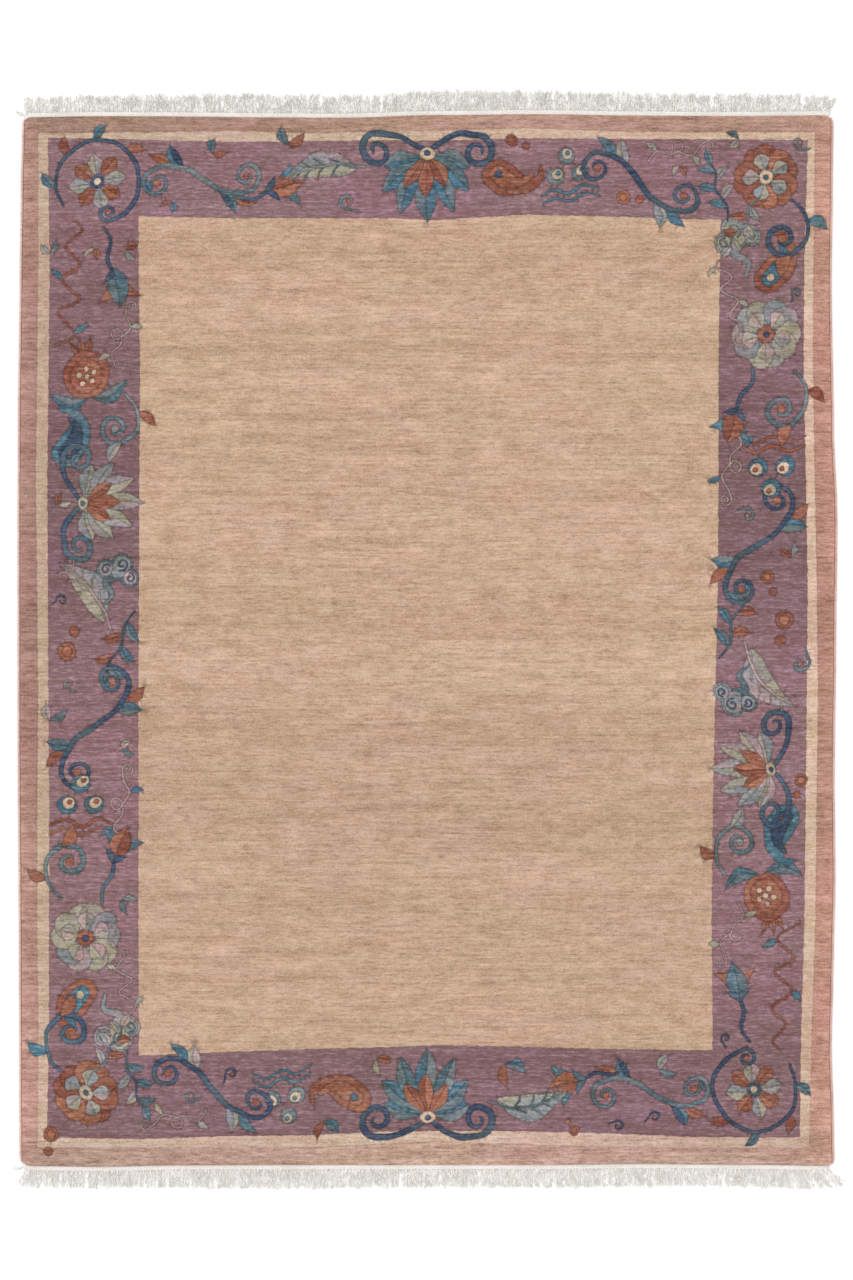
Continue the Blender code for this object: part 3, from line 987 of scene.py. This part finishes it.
def carved(faces, area, count):
    """How deep each point lies in a carved line: 1 where a patch ends, less between grounds."""
    sides = np.sort(np.concatenate([faces[:, [0, 1]], faces[:, [1, 2]], faces[:, [2, 0]]]), 1)
    owner = np.tile(np.arange(len(faces)), 3)
    order = np.lexsort((sides[:, 1], sides[:, 0]))
    sides, owner = sides[order], owner[order]
    shared = np.flatnonzero((sides[1:] == sides[:-1]).all(1))
    first, second = area[owner[shared]], area[owner[shared + 1]]
    cut = shared[first != second]
    depth = np.where(np.maximum(first, second)[first != second] > len(BANDS), 1.0, GROUND_GROOVE)
    made = np.zeros(count)
    for k in (0, 1):
        np.maximum.at(made, sides[cut][:, k], depth)
    return made


# %% [markdown]
# The top of the pile is lifted to the clipped height, cut a little lower along the carved
# lines, and never quite level. At the outline the tufts open over the edge in a quarter
# round, which four rings of points describe. Beside a groove the tuft ends splay and catch
# the light, so a painted highlight, a pale line, runs along it.

# %% The height of the pile
RIMS = (0.8, 2.4, 4.6, 7.2)
ROUNDING = 7.0
ROUNDING_STEP = 2.0
GROOVE_DEPTH, GROOVE_REACH = 1.5, 3.0
HALO_PLACE, HALO_REACH = 4.0, 3.0
TOP_MARGIN = 0.5
SWELLS = ((0.021, 0.006, 0.30), (-0.008, 0.017, 0.28), (0.047, 0.033, 0.16), (-0.052, 0.061, 0.12))


def pile_height(points, groove, outline):
    tree = tree_of(walked(outline, ROUNDING_STEP))
    deep = np.array([tree.find((x, y, 0.0))[2] for x, y in points])
    lean = np.clip(1 - deep / ROUNDING, 0, 1)
    x, y = points.T
    swell = sum(size * np.sin(a * x + b * y + 9 * size) for a, b, size in SWELLS)
    round_off = ROUNDING * (1 - np.sqrt(np.clip(1 - lean**2, 0, 1)))
    return PILE_TOP - TOP_MARGIN - round_off + (swell - GROOVE_DEPTH * groove) * (1 - lean)


def halo_of(points, groove):
    """1 in the painted highlight: a pale line a few millimetres beside each carved one."""
    tree = tree_of(points[groove == 1.0])
    near = np.array([tree.find((x, y, 0.0))[2] for x, y in points])
    return np.clip(1 - np.abs(near - HALO_PLACE) / HALO_REACH, 0, 1)


# %% [markdown]
# Every piece goes through one function, which makes its mesh, gives it its finish and
# ties it to the body of the rug. Colours and grooves are stored on the mesh as named
# attributes, so that one finish serves all the dyes. A map called OFBake unfolds the
# piece, so that its finish can be baked into a picture.


# %% Pieces, attributes and bake maps
def point_attribute(mesh, name, values):
    made = mesh.attributes.new(name, "FLOAT", "POINT")
    made.data.foreach_set("value", np.pad(values, (0, len(mesh.vertices) - len(values))))


def corner_attribute(mesh, name, values, counts):
    """A colour on each face's corners, given one for each face."""
    made = mesh.color_attributes.new(name, "FLOAT_COLOR", "CORNER")
    made.data.foreach_set("color", np.repeat(values, counts, 0).ravel().astype(np.float32))


def bake_map(mesh, places):
    """The map on which this piece's finish can be baked."""
    layer = mesh.uv_layers.new(name="OFBake")
    layer.data.foreach_set("uv", np.asarray(places, np.float32).ravel())


def add_piece(name, verts, faces, finish):
    mesh = bpy.data.meshes.new(name)
    mesh.from_pydata(np.asarray(verts).tolist(), [], faces)
    mesh.shade_smooth()
    mesh.materials.append(finish)
    piece = bpy.data.objects.new(name, mesh)
    bpy.context.scene.collection.objects.link(piece)
    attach(piece, "root")
    print(name, "has", len(mesh.polygons), "faces")
    return piece


# %% [markdown]
# The pile is one closed mesh, and so is the back: a drawn face, a wall round it, and a
# plain face that closes it inside the rug, where nobody looks. So the drawn face gets
# nearly all of the bake map.


# %% A closed slab from a plan
DRAWN_SHARE, PLAIN_SHARE = (0.975, 0.995), 0.006
PLAIN_CORNER = (0.99, 0.99)
WALL_COLUMNS, WALL_RISE = (0.988, 0.988, 0.982, 0.982), 0.98
MAP_MARGIN, RIM_MERGED = 0.002, 0.001


def rim_of(faces):
    """The plan's outline as point numbers in order, from the sides that only one triangle has."""
    sides = np.concatenate([faces[:, [0, 1]], faces[:, [1, 2]], faces[:, [2, 0]]])
    paired = {(a, b) for a, b in sides.tolist()}
    following = {a: b for a, b in paired if (b, a) not in paired}
    start = min(following)
    made = [start]
    while following[made[-1]] != start:
        made.append(following[made[-1]])
    return made


def face_at(faces, rim):
    """A triangle that has each of these points."""
    owner = {}
    for k, face in enumerate(faces.tolist()):
        for i in face:
            owner.setdefault(i, k)
    return [owner[i] for i in rim]


def slab(name, points, faces, shown_height, plain_height, main, fleck, finish):
    """A closed mesh from a plan. Its drawn face looks down if it is the lower one."""
    rim = np.array(rim_of(faces))
    count = len(points)
    lid, floor = triangulated(points[rim], closed_edges(len(rim), 0), RIM_MERGED)
    if len(lid) != len(rim):
        raise ValueError(f"{name}: the outline meets itself")
    floor = floor[:, ::-1]
    ring = np.arange(len(rim))
    ahead = np.roll(ring, -1)
    walls = np.column_stack([rim[ahead], rim, count + ring, count + ahead])
    heights = np.concatenate([np.broadcast_to(shown_height, count), np.full(len(lid), plain_height)])
    verts = to_frame(np.vstack([points, lid]), heights)
    every = faces.tolist() + walls.tolist() + (floor + count).tolist()
    piece = add_piece(name, verts, every, finish)
    unit = (verts[:, :2] - verts[:, :2].min(0)) / np.ptp(verts[:, :2], axis=0)
    shown, hidden = unit * DRAWN_SHARE + MAP_MARGIN, unit * PLAIN_SHARE + PLAIN_CORNER
    rise = np.stack([ring + 1, ring, ring, ring + 1], 1) / len(rim) * WALL_RISE
    wall_map = np.stack([np.broadcast_to(WALL_COLUMNS, rise.shape), rise], -1)
    places = [shown[faces.ravel()], wall_map.reshape(-1, 2), hidden[(floor + count).ravel()]]
    bake_map(piece.data, np.vstack(places))
    counts = [3] * len(faces) + [4] * len(walls) + [3] * len(floor)
    owner = face_at(faces, rim)
    for label, values in (("dye", main), ("fleck", fleck)):
        low = np.full((len(floor), 4), values[0])
        corner_attribute(piece.data, label, np.vstack([values, values[owner], low]), counts)
    if np.mean(shown_height) < plain_height:
        piece.data.flip_normals()
    return piece


# %% [markdown]
# Clipped wool is matt: light enters between the tuft ends and little comes back as
# gloss. What the eye reads as wool is the unevenness. Single tuft ends are lighter or
# darker, short flecks of a second shade lie along the knot rows, and longer streaks run
# across the whole width where the weaver took up another skein. All of these are
# stretched noises along the rows, and a Voronoi pattern with one cell for each knot.


# %% Wool
EXPOSED = 0.90  # the studio is bright enough to turn its floor white
MORE_DYE, LESS_DYE = (1.02, 0.965, 0.905, 1), (0.985, 1.01, 1.05, 1)
PINKER, GREENER = (1.02, 0.99, 1.015, 1), (0.985, 1.01, 0.975, 1)
GROOVE_PAINTED_SHADE, HALO_PAINTED_HIGHLIGHT = 0.46, 0.20
WOOL_SHEEN = 0.12
TUFT = 2.9  # millimetres from knot to knot


def wool(name, tuft=TUFT, relief=0.0018, carving=True):
    made = Finish(name)
    dye, fleck = made.attribute("dye"), made.attribute("fleck")
    heather = made.attribute("dye", out="Alpha")
    per_metre = 1000 / tuft
    grid = {"Vector": made.stretched(per_metre, per_metre * 1.05), "Scale": 1.0, "Randomness": 0.75}
    knot = made.node("ShaderNodeTexVoronoi", {"feature": "F1"}, grid, out="Color")
    dome = made.node("ShaderNodeTexVoronoi", {"feature": "F1"}, grid, out="Distance")
    shade = made.node("ShaderNodeSeparateColor", {}, {0: knot}, out=0)
    grain = made.noise(42, 190, detail=2.0, roughness=0.6)
    rows = made.noise(9, 120, detail=3.0, roughness=0.7)
    skein = made.noise(1.8, 30, detail=4.0, roughness=0.65)
    lot = made.noise(0.15, 5.0, detail=2.0)
    cloudy = made.noise(14.0, 26.0, detail=4.0, roughness=0.6)
    tinge = made.noise(6.0, 34.0, 3.0, detail=3.0)
    flecks = made.ramp(grain * 0.6 + rows * 0.4, 0.48, 0.62)
    worn = made.ramp(skein, 0.50, 0.66)
    colour = made.blend(flecks * 0.6 + worn * heather * 0.35, dye, fleck)
    streaks = (grain - 0.5) * 1.8 + (rows - 0.5) * 1.6 + (skein - 0.5) * 1.0
    streaks = streaks + (lot - 0.5) * 0.7 + (cloudy - 0.5) * 1.0
    # Light tuft ends stand out more than dark ones, so the dark side is held back.
    streaks = streaks.sum("MAXIMUM", streaks, streaks * 0.75)
    # Where the wool took more dye it is darker and also warmer.
    pale = made.ramp(streaks + (tinge - 0.5) * 0.6, -0.22, 0.22)
    colour = made.tinted(colour, made.blend(pale, MORE_DYE, LESS_DYE))
    # Age turned the wool a little pinker or greener from one patch of it to the next.
    age = made.ramp(made.noise(2.2, 4.5, detail=3.0), 0.36, 0.64)
    colour = made.tinted(colour, made.blend(age, PINKER, GREENER))
    fuzz = made.noise(900, 900, 900, detail=1.0)
    tone = streaks * heather + (shade - 0.5) * 0.30 + (fuzz - 0.5) * 0.2 + EXPOSED
    # Painted shade darkens the carved grooves, and a painted highlight lightens the pale line beside each
    # of them.
    if carving:
        shaded = made.attribute("groove", out="Fac") * GROOVE_PAINTED_SHADE
        tone = tone * (1.0 - shaded + made.attribute("halo", out="Fac") * HALO_PAINTED_HIGHLIGHT)
    rough = grain * 0.10 + 0.86
    height = (1.0 - dome) * 0.6 + rows * heather * 0.25 + grain * 0.15 + fuzz * 0.2
    return made.finish(made.lit(colour, tone), rough, height, relief, WOOL_SHEEN)


print("a tuft is as wide as", round(TUFT / MM_PER_PIXEL, 2), "pixels of the picture")

# %% [markdown]
# Now the pile can be built: cut, dyed, carved and closed just above the rug's back. It
# stands for the CAD pile, which is hidden.

# %% The pile
PILE_UNDERSIDE = 1.3
BORDER_GRID, FIELD_GRID = 16.0, 25.0
points, faces = triangles(EDGE, RIMS, PATCHES, GROOVE_REACH, LINE_STEP, BORDER_GRID, FIELD_GRID)
main, fleck, area = dyed(points, faces, PATCHES)
groove = carved(faces, area, len(points))
tops = pile_height(points, groove, EDGE)
pile = slab("pile", points, faces, tops, PILE_UNDERSIDE, main, fleck, wool("knotted_wool"))
point_attribute(pile.data, "groove", groove)
point_attribute(pile.data, "halo", halo_of(points, groove))
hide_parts("knotted_pile")
size = plan_areas(points, faces)
motifs, ground = size[area > len(BANDS)].sum(), size[area == 2].sum()
print("share of the border under motifs:", round(motifs / (motifs + ground), 3))

# %% [markdown]
# The back is seen when the rug is turned over. There every knot shows as a small flat
# loop, so the drawing is the same but coarser, without carving. A thin slab of its own
# keeps the two faces' finishes apart when they are baked.

# %% The back
BACK_TOP = 1.1
LEAST_MOTIF, MOTIF_STEP = 26, 11.0
large = [p for p in PATCHES if np.ptp(p.points, axis=0).max() > LEAST_MOTIF]
plain = [p._replace(points=walked(p.points, MOTIF_STEP)) for p in large]
points, faces = triangles(walked(EDGE, 2 * EDGE_STEP), (), plain, 0.0, 30.0, 34.0, 60.0)
main, fleck, area = dyed(points, faces, plain)
looped = wool("back_wool", tuft=3.2, relief=0.0008, carving=False)
back = slab("back", points, faces, 0.0, BACK_TOP, main, fleck, looped)

# %% [markdown]
# Cords, strips and yarns are all long things with a section that changes little. Each
# is a row of rings of points. One function skins any number of them at once with array
# sums, because a loop over thousands of yarns would be slow, and folds each one into
# its own cells of the bake map.


# %% Skinning rows of rings
def skinned(name, rings, finish, folds=1, columns=1):
    """A mesh of tubes from an array: tube, ring along it, point round it, place."""
    tubes, length, round_, _ = rings.shape
    number = np.arange(tubes * length * round_).reshape(tubes, length, round_)
    turned = np.roll(number, -1, 2)
    quads = np.stack([number[:, :-1], number[:, 1:], turned[:, 1:], turned[:, :-1]], -1).reshape(-1, 4)
    caps = np.concatenate([number[:, 0], number[:, -1, ::-1]])
    piece = add_piece(name, rings.reshape(-1, 3), quads.tolist() + caps.tolist(), finish)
    fold = -(-(length - 1) // folds)
    counts = (np.arange(n) for n in (tubes, length - 1, round_))
    tube, step, corner = np.meshgrid(*counts, indexing="ij")
    cell = tube * folds + step // fold
    rows = -(-tubes * folds // columns)
    along = np.stack([step, step + 1, step + 1, step], -1) - (step // fold * fold)[..., None]
    about = np.stack([corner, corner, corner + 1, corner + 1], -1)
    u = ((cell % columns)[..., None] + 0.04 + 0.92 * along / fold) / columns
    v = ((cell // columns)[..., None] + 0.08 + 0.84 * about / round_) / rows
    first = np.stack([u[:, 0, :, 0], v[:, 0, :, 0]], -1).reshape(-1, 2)
    last = np.stack([u[:, -1, ::-1, 1], v[:, -1, ::-1, 1]], -1).reshape(-1, 2)
    bake_map(piece.data, np.vstack([np.stack([u, v], -1).reshape(-1, 2), first, last]))
    return piece


# %% [markdown]
# A ring needs to know which way is up and which way is level, square to its line. All
# the lines here run nearly flat on the floor, so the world's upright settles it.


# %% Rings square to a line
def frames(centres):
    """Level and upright directions square to each centre line, for rings round it."""
    ahead = np.gradient(centres, axis=-2)
    ahead /= np.linalg.norm(ahead, axis=-1, keepdims=True)
    level = np.cross(ahead, (0.0, 0.0, 1.0))
    level /= np.linalg.norm(level, axis=-1, keepdims=True)
    return level, np.cross(level, ahead)


def ringed(centres, radius, sides):
    """Rings round centre lines. The radius may differ from ring to ring and point to point."""
    level, upright = (direction[..., None, :] for direction in frames(centres))
    angle = np.arange(sides) / sides * math.tau
    flat = level * (np.cos(angle) * radius)[..., None] + upright * (np.sin(angle) * radius)[..., None]
    return centres[..., None, :] + flat


print("a ring of 4:", ringed(np.array([[0.0, 0, 0], [0, 1, 0]]), np.ones((2, 1)), 4)[0].round(1).tolist())


# %% [markdown]
# Both long sides are overcast: strong warps at the edge are wrapped with wool, turn by
# turn. The cord follows the pile's outline and thins out round the corners, as the CAD
# cord does, which also gives its thickness.

# %% The line of a side cord
CORD_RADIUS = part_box("side_cord_left")[1][2] / MM / 2
FIT_GAP = 0.3
WRAP, FULL_SIZE = math.radians(38), 0.12
TIP_SHARE = 0.35
FINE_STEP = 2.0
SMOOTHED = 9


def cord_line(side):
    """The cord's middle line in chart millimetres, with its swell: 1 where it is full size."""
    fine = walked(EDGE, FINE_STEP)
    away = outward(fine)
    tilt = np.abs(np.arctan2(away[:, 1], away[:, 0] * side))
    kept = np.flatnonzero(tilt < WRAP)
    kept = kept[np.argsort(fine[kept, 1])]
    swell = 1 - (1 - TIP_SHARE) * np.clip((tilt[kept] - FULL_SIZE) / (WRAP - FULL_SIZE), 0, 1)
    swell = np.convolve(np.pad(swell, SMOOTHED // 2, "edge"), np.ones(SMOOTHED) / SMOOTHED, "valid")
    line = fine[kept] + away[kept] * (FIT_GAP + swell * CORD_RADIUS)[:, None]
    return line, swell


print("cord radius, mm:", round(CORD_RADIUS, 2), "points on the left line:", len(cord_line(-1)[0]))

# %% [markdown]
# A ridge that climbs round the cord shows the turns of its wrapping. Four rings to a turn
# are enough for it, since the cord is only a pixel or two wide in the picture. No hand
# winds evenly, so the cord also gets a little fatter and thinner along its way.


# %% Overcast sides
TURN_PITCH, RINGS_PER_TURN, CORD_SIDES = 3.6, 4, 8
TURN_DEPTH, TURN_START = 0.20, 0.25
FAT_PLACES, FAT_SPREAD = 420, 0.035


def overcast(name, side, finish):
    line, swell = cord_line(side)
    along = np.concatenate([[0], np.cumsum(np.linalg.norm(np.diff(line, axis=0), axis=1))])
    turns = round(along[-1] / TURN_PITCH)
    print(name, "is", round(along[-1]), "mm long, with", turns, "turns")
    stops = np.linspace(0, along[-1], turns * RINGS_PER_TURN + 1)
    line = np.stack([np.interp(stops, along, line[:, axis]) for axis in (0, 1)], 1)
    swell = np.interp(stops, along, swell)
    rng = np.random.default_rng(31 + side)
    fat = rng.normal(0, FAT_SPREAD, FAT_PLACES)
    fat = np.interp(stops, np.linspace(0, along[-1], FAT_PLACES), fat)
    radius = CORD_RADIUS * swell * (0.955 + fat.clip(-0.06, 0.045))
    centres = to_frame(line, CORD_RADIUS * swell)
    angle = np.arange(CORD_SIDES) / CORD_SIDES * math.tau
    ridge = np.abs(np.sin(math.pi * stops / TURN_PITCH + TURN_START)[:, None] * np.ones(CORD_SIDES))
    climbing = np.abs(np.sin(math.pi * stops[:, None] / TURN_PITCH + angle[None] / 2))
    turns_shown = 1 - TURN_DEPTH + TURN_DEPTH * (0.3 * ridge + 0.7 * climbing)
    thick = radius[:, None] * turns_shown * MM
    cord = skinned(name, ringed(centres, thick, CORD_SIDES)[None], finish, folds=30)
    return cord


# %% [markdown]
# The wool of the cords isn't knotted, so its finish is a plainer one: each turn a little
# lighter or darker than the next, partly the wool's own tone and partly painted shade of
# the wrapping's turns, slow changes along the side, and fuzz. Both sides were wound from
# other skeins than the band, paler on the left, and both are painted lighter to lift the
# shade that falls in the valley beside the pile.


# %% The wool of the side cords
def cord_wool(name, shade, fleck, darkness):
    made = Finish(name)
    turn = made.noise(20, 270, 20, detail=2.0)
    stretch = made.noise(4, 16, 4, detail=3.0)
    fuzz = made.noise(700, 700, 700, detail=2.0)
    share = made.ramp(turn * 0.6 + stretch * 0.4, 0.44, 0.60)
    colour = made.blend(share, (*shade, 1), (*fleck, 1))
    # Each turn lighter or darker: partly the wool's own tone, partly painted shade of the wrapping's
    # turns.
    tone = (turn - 0.5) * darkness + (fuzz - 0.5) * 0.25 + 1.0
    relief = turn * 0.5 + fuzz * 0.5
    return made.finish(made.lit(colour, tone), fuzz * 0.12 + 0.84, relief, 0.0008, WOOL_SHEEN)


SideWool = namedtuple("SideWool", "side shade fleck darkness")
# Both cords' colours are painted lighter than their wool, to lift the shade that falls in the valley
# beside the pile.
for cord_side, wools in {
    "left": SideWool(-1, *linear((206, 172, 162), (218, 188, 176)), 0.4),
    "right": SideWool(1, *linear((214, 178, 166), (190, 152, 138)), 0.5),
}.items():
    finish = cord_wool(f"{cord_side}_side_wool", wools.shade, wools.fleck, wools.darkness)
    overcast(f"overcast_{cord_side}", wools.side, finish)
    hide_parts(f"side_cord_{cord_side}")

# %% [markdown]
# Strips and fringes are undyed cotton, a little darker and lighter from yarn to yarn and
# never quite clean. In the flat weave the yarns lie across, in the fringe they run out, so
# the noises are stretched the one way or the other.


# %% Cotton
BRIGHT_COTTON = (246, 243, 237)
COTTON_SHEEN = 0.08


def cotton(name, weave, shaded):
    made = Finish(name)
    if weave:
        yarn = made.noise(160, 520, 60, detail=2.0)
        soil = made.noise(9, 30, 9, detail=3.0)
    else:
        yarn = made.noise(420, 60, 160, detail=2.0)
        soil = made.noise(22, 30, 22, detail=3.0)
    fibre = made.noise(900, 700, 900, detail=1.0)
    share = made.ramp(yarn * 0.65 + soil * 0.35, 0.40, 0.62)
    colour = made.blend(share, (*linear(*shaded), 1), (*linear(*BRIGHT_COTTON), 1))
    tone = (fibre - 0.5) * 0.16 + (0.94 if weave else 1.0)
    relief = fibre * 0.5 + yarn * 0.5
    return made.finish(made.lit(colour, tone), fibre * 0.1 + 0.8, relief, 0.0004, COTTON_SHEEN)


strip_cotton = cotton("strip_cotton", True, (222, 216, 209))

# %% [markdown]
# At each end the cotton warps leave the pile in a narrow flat-woven strip, which keeps
# the last knots in place. Its wefts show as fine ribs along the rug's width: the section
# goes up and down between them, flat below. The warps then run out as the fringe.

# %% Flat-woven strips
STRIP_DEPTH, STRIP_THICKNESS, TUCK = 13.0, 3.0, 0.4
STRIP_HALF = WIDTH / 2 - 13.3  # the rounded corners and the cords stay free
STRIP_RINGS = 480
RIBS, RIB_DEPTH, RIB_SPREAD = 5, 0.28, 0.05
END_LEAN = 0.35


def end_edge(end):
    """The pile's edge along one end, from left to right, as x and y in chart millimetres."""
    fine = walked(EDGE, 3.0)
    away = outward(fine)
    kept = fine[(away[:, 1] * end > END_LEAN)]
    return kept[np.argsort(kept[:, 0])]


def strip(name, end):
    edge = end_edge(end)
    xs = np.linspace(-STRIP_HALF, STRIP_HALF, STRIP_RINGS)
    ys = np.interp(xs, edge[:, 0], edge[:, 1]) + end * (TUCK + STRIP_DEPTH / 2)
    rng = np.random.default_rng(41 + end)
    xs, ys = xs[::end], ys[::end]
    centres = to_frame(np.stack([xs, ys], 1), STRIP_THICKNESS / 2)
    over = np.linspace(-1, 1, 2 * RIBS + 1)
    high = STRIP_THICKNESS / 2
    ribs = high * (1 - RIB_DEPTH + RIB_DEPTH * np.abs(np.sin(np.arange(2 * RIBS + 1) * math.pi / 2)))
    section = np.array([*zip(over, ribs), (0.98, -high), (-0.98, -high)])[::-1]
    level, upright = (direction[:, None] for direction in frames(centres))
    wander = 1 + rng.normal(0, RIB_SPREAD, (len(xs), len(section)))
    across = section[:, 0] * STRIP_DEPTH / 2 * MM
    tall = np.where(section[:, 1] > 0, section[:, 1] * wander, section[:, 1]).clip(-high, high) * MM
    rings = centres[:, None] + level * across[None, :, None] + upright * tall[..., None]
    made = skinned(name, rings[None], strip_cotton, folds=24)
    return made


strips = {name: strip(f"{name}_strip", end) for name, end in (("far", 1), ("near", -1))}

# %% [markdown]
# A fringe is the ends of the warps, not hair: soft cotton yarns in small groups, wavy,
# nearly alike in length, lying over each other on the floor. How far they reach was
# measured at a few places. At the corners the groups fan outwards, and at each left
# corner a few yarns have strayed.

# %% Where the yarns go
Reach = namedtuple("Reach", "along near far")
REACHES = (
    Reach(0.00, 63, 56),
    Reach(0.12, 60, 61),
    Reach(0.30, 69, 66),
    Reach(0.43, 65, 63),
    Reach(0.51, 63, 71),
    Reach(0.70, 66, 64),
    Reach(0.88, 62, 62),
    Reach(1.00, 70, 58),
)
GROUPS, YARNS = 246, 5
Fan = namedtuple("Fan", "left right stray")  # degrees
FANS = {"near": Fan(24, 48, 5.6), "far": Fan(12, 24, 7.5)}
FAN_REACH, FAN_EASE = 85.0, 1.25
FAN_LONGER, WIDE_FAN = 9.0, 30
ASTRAY, ASTRAY_LEAN, ASTRAY_SHARE = 3, 56, 0.7


def yarn_plan(which, rng):
    """For each yarn: its group's middle, its place in the group, its lean and its length."""
    half = STRIP_HALF - 4.0
    group = np.repeat(np.linspace(-half, half, GROUPS) + rng.normal(0, 0.9, GROUPS), YARNS)
    place = np.tile(np.arange(YARNS) - (YARNS - 1) / 2, GROUPS)
    fan = FANS[which]
    lean = np.repeat(np.radians(rng.normal(0, fan.stray, GROUPS)), YARNS)
    lean += np.radians(rng.normal(0, 0.8 * fan.stray, len(group)))
    from_left, from_right = (group + half) / FAN_REACH, (half - group) / FAN_REACH
    fanned_left, fanned_right = (np.clip(1 - gap, 0, 1) ** FAN_EASE for gap in (from_left, from_right))
    lean += np.radians(fan.right) * fanned_right - np.radians(fan.left) * fanned_left
    measured = [r.along for r in REACHES], [getattr(r, which) for r in REACHES]
    reach = np.interp(group / WIDTH + 0.5, *measured) - STRIP_DEPTH
    reach = reach + np.repeat(rng.normal(0, 0.35 * fan.stray, GROUPS), YARNS)
    reach += rng.normal(0, 0.4 * fan.stray, len(group))
    lean[:ASTRAY] -= np.radians(ASTRAY_LEAN)
    reach[:ASTRAY] *= ASTRAY_SHARE
    reach += FAN_LONGER * (fanned_right * (fan.right > WIDE_FAN) + fanned_left * (fan.left > WIDE_FAN))
    return group, place, lean, reach


print(GROUPS * YARNS, "yarns at each end")

# %% [markdown]
# Each yarn is a centre line of fourteen points: out from the strip, along its group's
# lean, close together at first and then apart, with waves that its group shares in part.
# It rises and sinks a little, because it lies over its neighbours.

# %% Fringes
YARN_RINGS, YARN_SIDES = 14, 5
YARN_RADIUS, FLOOR_GAP = 1.0, 0.1
ROOTED = 0.8  # how deep a yarn begins inside the strip
WAVES = ((13.0, 1.4), (28.0, 1.8))  # length and size in millimetres
USUAL_STRAY = 5


def yarn_lines(which, end, rng):
    """The centre lines of all yarns of one fringe, in the frame."""
    group, place, lean, reach = yarn_plan(which, rng)
    edge = end_edge(end)
    root = np.interp(group, edge[:, 0], edge[:, 1]) + end * (TUCK + STRIP_DEPTH - ROOTED)
    t = np.linspace(0, 1, YARN_RINGS)[None]
    out = t * reach[:, None]
    gather = np.interp(t[0], (0, 0.10, 0.35, 1), (1.9, 1.3, 2.0, 2.4))[None] * place[:, None]
    waves = 0.0
    for wave, size in WAVES:
        phase = np.repeat(rng.uniform(0, math.tau, GROUPS), YARNS) + rng.normal(0, 0.9, len(group))
        size *= FANS[which].stray / USUAL_STRAY
        waves = waves + size * np.sin(out / wave * math.tau + phase[:, None]) * np.clip(out / 12, 0, 1)
    sideways = gather + waves + out * np.tan(rng.normal(0, 0.03, len(group)))[:, None]
    x = group[:, None] + np.sin(lean)[:, None] * out + np.cos(lean)[:, None] * sideways
    y = root[:, None] + end * (np.cos(lean)[:, None] * out - np.sin(lean)[:, None] * sideways)
    floor = YARN_RADIUS + FLOOR_GAP
    lift = np.abs(rng.normal(0, 1.3, (len(group), 4)))
    bumps = np.stack([np.interp(t[0], (0, 0.35, 0.7, 1), row) for row in lift])
    z = floor + np.interp(t[0], (0, 0.12, 0.3), (0.5, 1.0, 0.4))[None] + bumps * (0.35 + 0.5 * t)
    return to_frame(np.stack([x, y], -1), z)


def fringe(name, end, finish):
    rng = np.random.default_rng(50 + end)
    centres = yarn_lines("far" if end > 0 else "near", end, rng)
    thinned = np.interp(np.linspace(0, 1, YARN_RINGS), (0, 0.9, 1), (1, 0.95, 0.7))
    thick = YARN_RADIUS * rng.uniform(0.82, 1.15, (len(centres), 1)) * thinned[None]
    made = skinned(name, ringed(centres, thick[..., None] * MM, YARN_SIDES), finish, columns=40)
    return made


# The far yarns' darker second shade is partly the yarns' own tone and partly painted shade, for the grey
# shadow between them.
far_cotton = cotton("far_cotton", False, (207, 204, 197))
near_cotton = cotton("near_cotton", False, (216, 212, 205))
fringes = {"far": fringe("far_yarns", 1, far_cotton), "near": fringe("near_yarns", -1, near_cotton)}
for name, yarns in fringes.items():
    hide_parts(f"fringe_{name}")

# %% [markdown]

# %% [markdown]
# The studio is a white floor under soft light from above, as in a catalogue picture. A
# pale world gives most of it. A wide, weak sun from the upper left adds the slight
# shading that shows the carving and the pile's edge.

# %% Studio
FLOOR_SIZE, FLOOR_DROP = 600, 0.5 * MM
studio = Finish("studio_floor")
paper = studio.noise(1.5, 1.5, 1.5, detail=2.0)
white = studio.lit((0.93, 0.93, 0.93), paper * 0.02 + 0.99)
floor_finish = studio.finish(white, paper * 0.05 + 0.9, paper, 0.0002, 0.0)
bpy.ops.mesh.primitive_plane_add(size=FLOOR_SIZE, location=(0, 0, -FLOOR_DROP))
studio_floor = bpy.context.object
studio_floor.name = "studio_floor"
studio_floor.data.materials.append(floor_finish)

WORLD_LIGHT, SUN_LIGHT = 1.0, 0.75
world = bpy.data.worlds.new("studio")
world.use_nodes = True
world.node_tree.nodes["Background"].inputs["Color"].default_value = (1.0, 1.0, 1.0, 1.0)
world.node_tree.nodes["Background"].inputs["Strength"].default_value = WORLD_LIGHT
bpy.context.scene.world = world
sun = bpy.data.objects.new("window_light", bpy.data.lights.new("window_light", "SUN"))
sun.data.energy, sun.data.angle = SUN_LIGHT, math.radians(22)
sun.rotation_euler = (math.radians(-34), math.radians(-24), 0)
bpy.context.scene.collection.objects.link(sun)
bpy.context.scene.view_settings.view_transform = "Standard"
